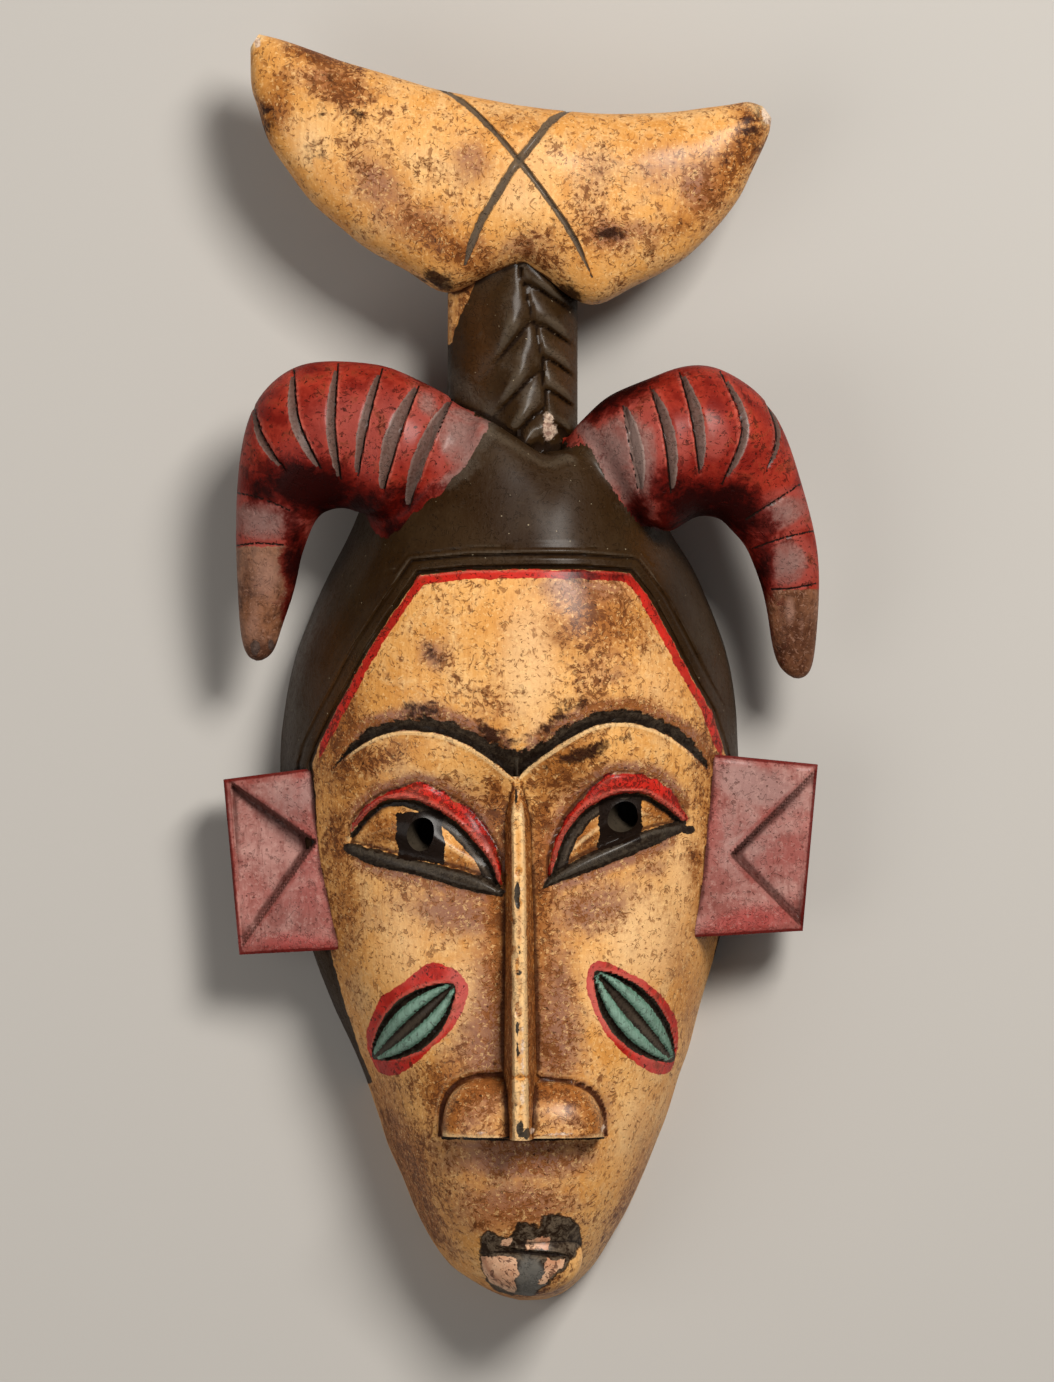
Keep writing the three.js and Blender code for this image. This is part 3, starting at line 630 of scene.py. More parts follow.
def leaf_relief(axis, x, y):
    """A sunken leaf with two rounded strips beside a middle groove."""
    along, share, width = leaf_place(axis, x, y)
    on = (along > 0) & (along < 1)
    across = np.abs(share)
    trough = ease(1.08, 0.9, across)
    strip = ease(0.14, 0.4, across) * ease(0.86, 0.6, across)
    depth = -LEAF_DEPTH * trough + LEAF_STRIP * strip * ease(0, 0.1, along) * ease(1, 0.9, along)
    return np.where(on, depth, 0) * ease(0.3, 3, width)


def wing_gap(x, y):
    """Millimetres outside the upper outline of the nearer wing of the nose."""
    gap = np.full(x.shape, 20.0)
    for middle_x, middle_y, half_width, tall in NOSE_WINGS:
        across, up = np.abs(x - middle_x) / half_width, np.maximum(y - middle_y, 0) / tall
        reach = (across**3 + up**3) ** (1 / 3)
        away = (reach - 1) * (half_width + tall) / 2
        gap = np.where(y > middle_y - 1, np.minimum(gap, away), gap)
    return gap


def head_relief(x, y, face):
    """Everything carved on the head that stands less than a few millimetres off it."""
    steps = np.array(HAIR_BAND)
    relief = np.interp(-face, steps[:, 0], steps[:, 1])
    for brow in BROWS:
        relief += brow_relief(*brow, x, y)
    for eye in EYES:
        relief += eye_relief(*eye, x, y)
    for leaf in CHEEK_LEAVES:
        relief += leaf_relief(leaf, x, y)
    for middle_x, middle_y, reach, depth in SOCKETS:
        relief -= depth * np.exp(-((x - middle_x) ** 2 + (y - middle_y) ** 2) / (2 * reach**2))
    relief -= WING_GROOVE_DEPTH * np.exp(-((wing_gap(x, y) - 0.9) / 0.9) ** 2)
    keel = np.exp(-(((x - 1.7) / 4) ** 2)) * ease(-16, -6, y) * ease(24, 12, y)
    return relief + 0.6 * keel


def face_depth(x, y):
    """Millimetres inside the face, negative on the hair."""
    depths = [np.interp(x, *np.transpose(FACE_TOP)) - y]
    for edge, side in ((FACE_LEFT, -1), (FACE_RIGHT, 1)):
        across, up = np.transpose(edge)
        slope = np.gradient(across, up)
        steep = np.sqrt(1 + np.interp(y, up, slope) ** 2)
        depths.append(side * (np.interp(y, up, across) - x) / steep)
    return np.minimum.reduce(depths)


def carve_head():
    """Dome, face and hair as one skin with all their low relief."""
    heights = [HEAD[0][0]]
    for stop, step in HEAD_SPACING:
        count = max(1, round((heights[-1] - stop) / step))
        heights.extend(np.linspace(heights[-1], stop, count + 1)[1:])
    rows = head_rows(np.array(heights))
    face_shares = np.linspace(0, 1, 68)[:-1]
    band = np.linspace(0, HAIR_BAND[-1][0], 17)
    side_shares = np.sin(np.linspace(0, np.pi / 2, 12))[1:]
    sections = []
    for y, left, right, rise, bend, face_left, face_right in rows:
        places = []
        for half, face in ((-left, face_left), (right, face_right)):
            room = min(1, (abs(half) - face) / 10.5)
            edge = face + band[-1] * room
            across = np.concatenate([face_shares * face, face + band * room,
                                     edge + (abs(half) - edge) * side_shares])
            x = np.sign(half) * across
            share = arch(across / abs(half))
            off = x - GABLE_MIDDLE_X
            fall = np.sqrt(off**2 + GABLE_ROUNDING**2)
            fall -= GABLE_ROUNDING / (1 + (off / 10) ** 2)
            places.append(np.stack([x, y + bend * GABLE_SLOPE * fall * share, rise * share, share],
                                   axis=1))
        sections.append(np.vstack([places[0][:0:-1], places[1]]))
    grid = np.array(sections)
    x, y, share = grid[..., 0], grid[..., 1], grid[..., 3]
    depth = head_relief(x, y, face_depth(x, y)) * ease(0, 0.35, share)
    grid[..., 2] = np.maximum(grid[..., 2] + depth, 0)
    points = grid[..., :3].reshape(-1, 3)
    points[:, 2] += KNIFE_MARKS * uneven(points, 16.0) * ease(0, 6, points[:, 2])
    return skin("mask", points.reshape(grid.shape[0], grid.shape[1], 3), HEAD_PART)


def carve_hollow():
    """The room behind the face, rough from the chisel."""
    table = np.array(HOLLOW, float)
    heights = np.linspace(table[0, 0], table[-1, 0], 70)
    shares = smooth(table[:, 0], table[:, 1], heights, steady=True)
    turn = np.linspace(-np.pi / 2, np.pi / 2, 33)
    across = np.sign(turn) * np.abs(np.sin(turn)) ** 0.8
    sections = []
    for row, share in zip(head_rows(heights), shares):
        y, left, right, rise = row[:4]
        half = np.where(across < 0, left - WALL, right - WALL) * share
        top = ((rise - WALL) * share + RIM_OVERSHOOT) * arch(across) - RIM_OVERSHOOT
        sections.append(np.stack([half * across, np.full(across.shape, y), top], axis=1))
    points = np.array(sections)
    flat = points.reshape(-1, 3)
    chisel = CHISEL_MARKS * uneven(flat * (1, 0.5, 1), 9.0, 4.0)
    flat[:, 2] += chisel * ease(4, 20, flat[:, 2])
    return skin("hollow", points, HOLLOW_PART)


# Crest, neck and horns


def oblong(first, second, middle_z, half_depth, fullness, turns):
    """Rounded oblong section between two edge points."""
    power = 2 / fullness
    across = np.sign(np.cos(turns)) * np.abs(np.cos(turns)) ** power
    deep = np.sign(np.sin(turns)) * np.abs(np.sin(turns)) ** power
    middle = (np.asarray(first) + second) / 2
    reach = (np.asarray(first) - second) / 2
    xy = middle + across[:, None] * reach
    return np.column_stack([xy, middle_z + half_depth * deep])


def carve_crest():
    """The crescent on top, fat in the middle and pointed at both ends."""
    rows = smooth(np.arange(len(CREST)), CREST, np.linspace(0, len(CREST) - 1, CREST_ROWS))
    turns = circle(48)
    rings = [oblong(row[:2], row[2:4], CREST_MIDDLE_Z, row[4], CREST_FULLNESS, turns)
             for row in rows]
    points = np.array(rings)
    flat = points.reshape(-1, 3)
    flat[:, 2] += 0.5 * uneven(flat, 20.0, 2.0)
    return skin("crest", points, CREST_PART)


def surface_over(obj):
    """A function that gives the height of the object's front at a place."""
    tree = bvhtree.BVHTree.FromObject(obj, bpy.context.evaluated_depsgraph_get())
    down = Vector((0, 0, -1))

    def height(x, y):
        start = Vector(((x - MIDDLE_X) * MM, (y - MIDDLE_Y) * MM, 1))
        hit = tree.ray_cast(start, down)[0]
        return hit.z / MM if hit else 0.0

    return height


# Section of a round-bottomed cut, from side to side in half widths and down in depths.
CUT_PROFILE = [(-1.25, 0.5), (-0.85, -0.2), (-0.4, -0.85), (0, -1), (0.4, -0.85), (0.85, -0.2),
               (1.25, 0.5)]
CUTTER_TOP = 6


def cut_groove(obj, line, half_width, depth, part):
    """A round-bottomed cut along a line, narrowing at its ends."""
    height = surface_over(obj)
    path = line_through(line, 46)
    run = np.gradient(path, axis=0)
    run /= np.hypot(run[:, 0], run[:, 1])[:, None]
    rings = []
    for k, ((px, py), (tx, ty)) in enumerate(zip(path, run)):
        t = k / (len(path) - 1)
        taper = min(1, 0.3 + 5 * min(t, 1 - t))
        low, high = [], []
        for across, down in CUT_PROFILE:
            x, y = px - ty * across * half_width * taper, py + tx * across * half_width * taper
            top = height(x, y)
            low.append((x, y, top + down * depth * (taper if down < 0 else 1)))
            high.append((x, y, top + CUTTER_TOP))
        rings.append(low + high[::-1])
    combine(obj, skin("cutter", rings, part), "DIFFERENCE")


def braid_relief(x, y):
    """Lobes that overlap like scales beside the parting, each fullest at its lower end."""
    parting = np.array(PARTING[::-1], float)
    middle = np.interp(y, parting[:, 1], parting[:, 0])
    relief = np.zeros(x.shape)
    for lobes, slope, side in ((LEFT_LOBES, LOBE_SLOPES[0], -1), (RIGHT_LOBES, LOBE_SLOPES[1], 1)):
        away = side * (x - middle)
        level = y + slope * away - 0.003 * away**2 + 2.4 * np.exp(-np.maximum(away, 0) / 2)
        on = away >= 0
        ends = np.array(lobes, float)
        k = np.clip(np.searchsorted(-ends, -level, side="right") - 1, 0, len(ends) - 2)
        t = np.clip((ends[k] - level) / (ends[k] - ends[k + 1]), 0, 1)
        scale = BRAID_RISE * np.sin(np.pi / 2 * t) ** 0.9
        scale *= np.sqrt(1 - (np.maximum(t - 0.66, 0) / 0.34) ** 2 * 0.98)
        scale *= 0.5 + 0.5 * ease(0, 8, away)
        scale -= 0.9 * np.exp(-(away / 0.8) ** 2)
        scale *= 1 - 0.8 * ease(8, 18, away)
        relief = np.where(on, scale, relief)
    return relief


def carve_neck():
    """The neck between dome and crest with its braid and the worn nub at the parting's foot."""
    front = np.linspace(-0.02, 1.02, 66) * np.pi
    turns = np.concatenate([front, np.linspace(1.02, 1.98, 14)[1:-1] * np.pi])
    rings = []
    rows = [np.linspace(NECK_FOOT_Y, BRAID_FOOT_Y, 10)[:-1],
            np.linspace(BRAID_FOOT_Y, NECK_TOP_Y, 90)]
    for y in np.concatenate(rows):
        ring = oblong((NECK_MIDDLE[0] + NECK_HALF[0], y), (NECK_MIDDLE[0] - NECK_HALF[0], y),
                      NECK_MIDDLE[1], NECK_HALF[1], 2.0, turns)
        rings.append(ring)
    points = np.array(rings)
    flat = points.reshape(-1, 3)
    x, y, z = flat.T
    facing = ease(32, 42, z)
    flat[:, 2] += facing * (braid_relief(x, y) - 2.4) + 0.4 * uneven(flat, 7.0, 7.0)
    nub_x, nub_y, across, up, rise = NUB
    nub = np.exp(-((x - nub_x) / across) ** 2 - ((y - nub_y) / up) ** 2)
    flat[:, 2] += rise * nub * facing
    return skin("neck", points, NECK_PART)


def shape_horn(table):
    """A smooth tapering horn of rounded sections."""
    rows = smooth(np.arange(len(table)), table, np.linspace(0, len(table) - 1, HORN_ROWS))
    loose = 0.5 * ease(2, 24, np.arange(len(rows) - 2, 0, -1))[:, None]
    for _ in range(HORN_SMOOTHINGS):
        rows[1:-1] += loose * ((rows[:-2] + rows[2:]) / 2 - rows[1:-1])
    front = np.linspace(-0.12, 1.12, 38)
    turns = np.concatenate([front, np.linspace(1.12, 1.88, 12)[1:-1]]) * np.pi
    sections = []
    for row in rows:
        half = math.hypot(row[0] - row[2], row[1] - row[3]) / 2 * HORN_DEPTH_RATIO
        sections.append(oblong(row[:2], row[2:4], row[4], half, 2.0, turns))
    points = np.array(sections)
    flat = points.reshape(-1, 3)
    flat[:, 2] += 0.35 * uneven(flat, 11.0, 9.0)
    return skin("horn", points, HORN_PART)


def melt(obj, first_part, second_part, reach, rounds):
    """Run two parts of the block into each other around the crease where they meet."""
    mesh = obj.data
    place = places_of(obj)
    owners, corners = corner_parts(mesh)
    touches = [np.bincount(corners[owners == part], minlength=len(place)) > 0
               for part in (first_part, second_part)]
    crease = place[touches[0] & touches[1]]
    tree = kdtree.KDTree(len(crease))
    for k, p in enumerate(crease.tolist()):
        tree.insert(p, k)
    tree.balance()
    near = np.where(touches[0] | touches[1])[0]
    low, high = crease.min(axis=0) - reach, crease.max(axis=0) + reach
    near = near[((place[near] > low) & (place[near] < high)).all(axis=1)]
    weight = np.zeros(len(place))
    weight[near] = [tree.find(p)[2] for p in place[near].tolist()]
    weight[near] = ease(reach, 0.3 * reach, weight[near])
    relax(mesh, place, weight, rounds)
    put_places(obj, place)


def corner_parts(mesh):
    """The part that each corner of the faces belongs to and the point it is at."""
    parts = np.empty(len(mesh.polygons), np.int32)
    mesh.attributes["part"].data.foreach_get("value", parts)
    totals = np.empty(len(mesh.polygons), np.int32)
    mesh.polygons.foreach_get("loop_total", totals)
    corners = np.empty(len(mesh.loops), np.int32)
    mesh.loops.foreach_get("vertex_index", corners)
    return np.repeat(parts, totals), corners


def edge_ends(mesh):
    """The two points of each edge."""
    ends = np.empty(len(mesh.edges) * 2, np.int32)
    mesh.edges.foreach_get("vertices", ends)
    return ends.reshape(-1, 2)


def relax(mesh, place, weight, rounds):
    """Draw points toward the middle of their neighbours, changing place."""
    a, b = edge_ends(mesh).T
    ends = np.concatenate([a, b])
    others = np.concatenate([b, a])
    count = np.maximum(np.bincount(ends, minlength=len(place)), 1)
    for _ in range(rounds):
        for axis in range(3):
            middle = np.bincount(ends, place[others, axis], minlength=len(place)) / count
            place[:, axis] += 0.6 * weight * (middle - place[:, axis])


def put_places(obj, place):
    """Move the object's points to places in millimetres on the face plane."""
    obj.data.vertices.foreach_set("co", ((place - (MIDDLE_X, MIDDLE_Y, 0)) * MM).ravel())
    obj.data.update()


def points_normal(mesh):
    """Which way the surface faces at each point."""
    flat = np.empty(len(mesh.vertices) * 3)
    mesh.vertex_normals.foreach_get("vector", flat)
    return flat.reshape(-1, 3)


# Node trees


class Amount:
    """A value that differs over the surface, written as ordinary arithmetic."""

    def __init__(self, work, socket):
        self.work = work
        self.socket = socket

    def maths(self, operation, *others):
        return self.work.node("ShaderNodeMath", {"operation": operation}, self, *others)

    def back(self, operation, other):
        return self.work.node("ShaderNodeMath", {"operation": operation}, other, self)

    def __add__(self, other):
        return self.maths("ADD", other)

    def __sub__(self, other):
        return self.maths("SUBTRACT", other)

    def __mul__(self, other):
        return self.maths("MULTIPLY", other)

    def __truediv__(self, other):
        return self.maths("DIVIDE", other)

    def __radd__(self, other):
        return self.back("ADD", other)

    def __rsub__(self, other):
        return self.back("SUBTRACT", other)

    def __rmul__(self, other):
        return self.back("MULTIPLY", other)

    def __rtruediv__(self, other):
        return self.back("DIVIDE", other)

    def size(self):
        return self.maths("ABSOLUTE")

    def most(self, other):
        return self.maths("MAXIMUM", other)

    def least(self, other):
        return self.maths("MINIMUM", other)

    def above(self, low, high):
        """0 below low, 1 above high, smooth between."""
        return self.work.node("ShaderNodeMapRange", {"interpolation_type": "SMOOTHSTEP"},
                              self, low, high)

    def below(self, low, high):
        """1 below low, 0 above high, smooth between."""
        return 1.0 - self.above(low, high)


class Work:
    """A node tree that grows by one call for each node."""

    def feed(self, socket, value):
        if isinstance(value, Amount):
            self.tree.links.new(value.socket, socket)
        elif isinstance(value, tuple) and len(value) == 3 and socket.type == "RGBA":
            socket.default_value = (*value, 1)
        else:
            socket.default_value = value

    def node(self, kind, settings, *values, out=0, at=None, **named):
        """Any node: its type, its settings, then what feeds its sockets: in order, by name, or by
        number where two sockets share a name."""
        made = self.tree.nodes.new(kind)
        for key, value in settings.items():
            setattr(made, key, value)
        for socket, value in zip(made.inputs, values):
            self.feed(socket, value)
        for key, value in {**(at or {}), **named}.items():
            self.feed(made.inputs[key], value)
        return Amount(self, made.outputs[out])


class Layout(Work):
    """A geometry tree with named inputs."""

    def __init__(self, name, sizes):
        self.tree = bpy.data.node_groups.new(name, "GeometryNodeTree")
        face = self.tree.interface
        face.new_socket("Geometry", in_out="INPUT", socket_type="NodeSocketGeometry")
        face.new_socket("Geometry", in_out="OUTPUT", socket_type="NodeSocketGeometry")
        for label, kind, value in sizes:
            socket = face.new_socket(label, in_out="INPUT", socket_type=kind)
            if value is not None:
                socket.default_value = value
        self.start = self.tree.nodes.new("NodeGroupInput")

    def given(self, label):
        """What comes in under a label."""
        return Amount(self, self.start.outputs[label])

    def stored(self, label):
        """A number that each point carries."""
        return self.node("GeometryNodeInputNamedAttribute", {"data_type": "FLOAT"}, label,
                         out="Attribute")

    def finish(self, geometry):
        """Send the finished geometry out of the tree."""
        end = self.tree.nodes.new("NodeGroupOutput")
        self.feed(end.inputs[0], geometry)

    def work_on(self, obj):
        """Run the tree on an object and keep the result as its mesh."""
        obj.modifiers.new("layout", "NODES").node_group = self.tree
        bake_modifiers(obj)


def groove_layout():
    """Slanting cuts across the horns: steep on the root side, a flat facet toward the tip."""
    layout = Layout("horn grooves", [
        ("Depth", "NodeSocketFloat", GROOVE_DEPTH * MM),
        ("Steep", "NodeSocketFloat", GROOVE_STEEP_SIDE),
        ("Full width", "NodeSocketFloat", GROOVE_FULL_WIDTH),
        ("Material", "NodeSocketMaterial", None),
    ])
    past, band = layout.stored("past"), layout.stored("band")
    toward_tip = past.maths("GREATER_THAN", 0.0)
    width = toward_tip * band + (1.0 - toward_tip) * layout.given("Steep")
    cut = (1.0 - past.size() / width.most(0.01)).most(0.0)
    drop = cut * (band / layout.given("Full width")).least(1.0) * layout.given("Depth")
    normal = layout.node("GeometryNodeInputNormal", {})
    move = layout.node("ShaderNodeVectorMath", {"operation": "SCALE"}, normal, Scale=drop * -1.0)
    moved = layout.node("GeometryNodeSetPosition", {}, Geometry=layout.given("Geometry"),
                        Offset=move)
    real = layout.node("GeometryNodeRealizeInstances", {}, moved)
    coat = layout.node("GeometryNodeSetMaterial", {}, Geometry=real,
                       Material=layout.given("Material"))
    layout.finish(coat)
    return layout


def groove_places(x, y, z):
    """Signed distance past the nearest groove of the horns, and the width of its facet there."""
    past = np.full(x.shape, 50.0)
    band = np.full(x.shape, 0.01)
    for grooves, bands, tip_side in ((LEFT_GROOVES, LEFT_BANDS, -1),
                                     (RIGHT_GROOVES, RIGHT_BANDS, 1)):
        for line, width in zip(grooves, bands):
            gap, share, side = near_line(line_through(line, 24), x, y, GROOVE_REACH)
            body = np.sin(np.pi * np.clip(share, 0, 1) ** 1.05) ** 0.6
            closer = (gap < np.abs(past)) & (z > GROOVE_LOWEST_Z)
            past = np.where(closer, tip_side * side * gap, past)
            band = np.where(closer, width * body + 0.01, band)
    return past, band


# Ears, nose and mouth


def carve_ear(corners, recess):
    """A thick square slab with a triangle sunk into its front, deepest near the head."""
    outer_top, inner_top, inner_low, outer_low = (np.array(c, float) for c in corners)
    steps = np.concatenate([[0, 0.015], np.linspace(0.04, 0.96, 52), [0.985, 1]])
    u, v = np.meshgrid(steps, steps, indexing="ij")
    top = outer_top * (1 - u[..., None]) + inner_top * u[..., None]
    low = outer_low * (1 - u[..., None]) + inner_low * u[..., None]
    xy = top * (1 - v[..., None]) + low * v[..., None]
    x, y = xy[..., 0], xy[..., 1]
    front = EAR_OUTER_Z + (EAR_INNER_Z - EAR_OUTER_Z) * ease(0, 0.75, u)
    tip = np.array(recess[1], float)
    mouth = (np.array(recess[0], float) + recess[2]) / 2
    toward = np.clip(((x - mouth[0]) * (tip[0] - mouth[0]) + (y - mouth[1]) * (tip[1] - mouth[1]))
                     / ((tip - mouth) ** 2).sum(), 0, 1)
    depth = EAR_RECESS_AT_MOUTH + (EAR_RECESS - EAR_RECESS_AT_MOUTH) * toward
    sunk = ease(-0.5, 0.9, depth_in(recess, x, y, 60.0)) * depth
    edge = np.minimum(np.minimum(v, 1 - v), u) * 40
    bevel = 1.2 * ease(1.2, 0, edge)
    z = front - sunk - bevel
    flat = np.stack([x, y, z], axis=-1).reshape(-1, 3)
    z = z + 0.45 * uneven(flat, 9.0, 5.0).reshape(z.shape)
    rings = []
    for i in range(len(steps)):
        front_row = np.column_stack([x[i], y[i], z[i]])
        back_row = np.column_stack([x[i], y[i], np.full(len(steps), EAR_BACK_Z)])[::-1]
        rings.append(np.vstack([front_row, back_row[[0, len(steps) // 2, -1]]]))
    return skin("ear", rings, EAR_PART)


def carve_nose(height):
    """The straight ridge of the nose, with knocks along its crown."""
    path = line_through(NOSE, 110)
    across = np.array([-1, -0.97, -0.92, -0.84, -0.74, -0.64, -0.54, -0.44, -0.3, -0.15, 0,
                       0.15, 0.3, 0.44, 0.54, 0.64, 0.74, 0.84, 0.92, 0.97, 1])
    crown = 1 - ease(0.3, 1.0, np.abs(across)) - 0.05 * np.minimum(np.abs(across), 0.4) ** 2
    rings = []
    for k, (px, py) in enumerate(path):
        t = k / (len(path) - 1)
        rise = (NOSE_RISE[0] + (NOSE_RISE[1] - NOSE_RISE[0]) * t**0.8) * ease(0, 0.12, t)
        half = (4.7 + 1.9 * t) * (0.5 + 0.5 * ease(0, 0.14, t))
        base = height(px, py)
        x = px + across * half
        z = base - 0.8 + (rise + 0.8) * crown
        ring = np.column_stack([x, np.full(x.shape, py), z])
        knock = uneven(ring * (1, 0.6, 0), 3.1, 3.0)
        ring[:, 2] -= 0.8 * ease(0.25, 0.55, knock) * (crown > 0.8)
        below = np.array([[px + half, py, base - 5], [px - half, py, base - 5]])
        rings.append(np.vstack([ring, below]))
    return skin("nose", rings, NOSE_PART)


def carve_wing(place, height):
    """Half a low dome beside the nose tip, flat along its lower edge."""
    middle_x, middle_y, half_width, tall = place
    base = height(middle_x, middle_y) - 1
    turns = np.linspace(0, np.pi, 33)
    rings = []
    for t in np.sin(np.linspace(0, 0.49 * np.pi, 20)):
        size = (1 - t**3) ** (1 / 3)
        x = middle_x + half_width * size * np.cos(turns)
        z = base + WING_RISE * math.sqrt(1 - t * t) ** 0.8 * np.abs(np.sin(turns)) ** 0.75
        y = middle_y + tall * t
        arc = np.column_stack([x, np.full(x.shape, y), z])
        rings.append(np.vstack([arc, [[x[-1], y, base - 6], [x[0], y, base - 6]]]))
    return skin("wing", rings, NOSE_PART)


def carve_lips():
    """The small jutting mouth."""
    middle_x, middle_y, middle_z, half_x, half_y, half_z = LIPS
    turns = circle(48)
    rings = []
    for tilt in np.linspace(-0.48 * np.pi, 0.48 * np.pi, 34):
        size = math.cos(tilt)
        x = middle_x + half_x * size * np.cos(turns)
        y = middle_y + half_y * size * np.sin(turns)
        rings.append(np.column_stack([x, y, np.full(x.shape, middle_z + half_z * math.sin(tilt))]))
    return skin("lips", rings, LIPS_PART)


def drill(place):
    """A hole bored on a slant through the wall of the face."""
    middle_x, middle_y, half_x, half_y, lean = place
    turns = circle(40)
    c, s = math.cos(PUPIL_TURN), math.sin(PUPIL_TURN)
    x = half_x * np.cos(turns) * c + half_y * np.sin(turns) * s
    y = half_y * np.sin(turns) * c - half_x * np.cos(turns) * s
    rings = []
    for z in (20.0, EYE_LEVEL, 120.0):
        shift = lean * max(EYE_LEVEL - z, 0)
        rings.append(np.column_stack([middle_x + x + shift, middle_y + y + 0.7 * shift,
                                      np.full(x.shape, z)]))
    return skin("drill", rings, HOLE_PART)


# Putting the block together


def carve_block():
    """Every part joined into one solid, then hollowed and drilled."""
    block = carve_head()
    over_head = surface_over(block)
    parts = [carve_nose(over_head)]
    parts += [carve_wing(place, over_head) for place in NOSE_WINGS]
    lips = carve_lips()
    cut_groove(lips, MOUTH, MOUTH_CUT_WIDTH, MOUTH_CUT_DEPTH, LIPS_PART)
    parts.append(lips)
    parts += [carve_ear(corners, recess) for corners, recess in EARS]
    parts.append(carve_neck())
    crest = carve_crest()
    for line, width in zip(CREST_CUTS, CREST_CUT_WIDTHS):
        cut_groove(crest, line, width, CREST_CUT_DEPTH, CREST_PART)
    parts.append(crest)
    parts += [shape_horn(table) for table in (LEFT_HORN, RIGHT_HORN)]
    for piece in parts:
        combine(block, piece, "UNION")
    combine(block, carve_hollow(), "DIFFERENCE")
    for place in PUPILS:
        combine(block, drill(place), "DIFFERENCE")
    return block


def sweep_crumbs(obj):
    """Keep the carving and drop the loose slivers that the cuts leave behind."""
    mesh = bmesh.new()
    mesh.from_mesh(obj.data)
    bmesh.ops.dissolve_degenerate(mesh, dist=0.002 * MM, edges=mesh.edges)
    waiting = set(mesh.faces)
    pieces = []
    while waiting:
        piece = [waiting.pop()]
        for face in piece:
            for edge in face.edges:
                if len(edge.link_faces) == 2:
                    for other in edge.link_faces:
                        if other in waiting:
                            waiting.remove(other)
                            piece.append(other)
        pieces.append(piece)
    pieces.sort(key=len)
    crumbs = [face for piece in pieces[:-1] for face in piece]
    bmesh.ops.delete(mesh, geom=crumbs, context="FACES")
    bmesh.ops.delete(mesh, geom=[v for v in mesh.verts if not v.link_faces], context="VERTS")
    mesh.to_mesh(obj.data)
    mesh.free()


def refine(obj, wanted):
    """Halve the edges whose two ends are both wanted."""
    mesh = bmesh.new()
    mesh.from_mesh(obj.data)
    mesh.verts.ensure_lookup_table()
    edges = [e for e in mesh.edges if wanted[e.verts[0].index] and wanted[e.verts[1].index]
             and e.calc_length() > 0.7 * MM]
    bmesh.ops.subdivide_edges(mesh, edges=edges, cuts=1)
    bmesh.ops.triangulate(mesh, faces=[f for f in mesh.faces if len(f.verts) > 4])
    mesh.to_mesh(obj.data)
    mesh.free()


def carve_grooves(block):
    """The cuts across the horns, made once the horns run smoothly into the dome."""
    past, band = groove_places(*places_of(block).T)
    refine(block, (past > -1.6) & (past < band + 0.8) & (band > 0.1))
    x, y, z = places_of(block).T
    for label, values in zip(("past", "band"), groove_places(x, y, z)):
        field = block.data.attributes.new(label, "FLOAT", "POINT")
        field.data.foreach_set("value", values)
    groove_layout().work_on(block)
    for label in ("past", "band"):
        block.data.attributes.remove(block.data.attributes[label])


# Where each paint lies

ZONES = ("ochre", "red", "horn", "ink", "iris", "green", "facet", "crease", "lip", "flesh",
         "smoke", "amber", "soot", "worn", "dust", "pale", "bright", "tip", "ear", "bare",
         "hole", "hollow")
NOWHERE = -20.0
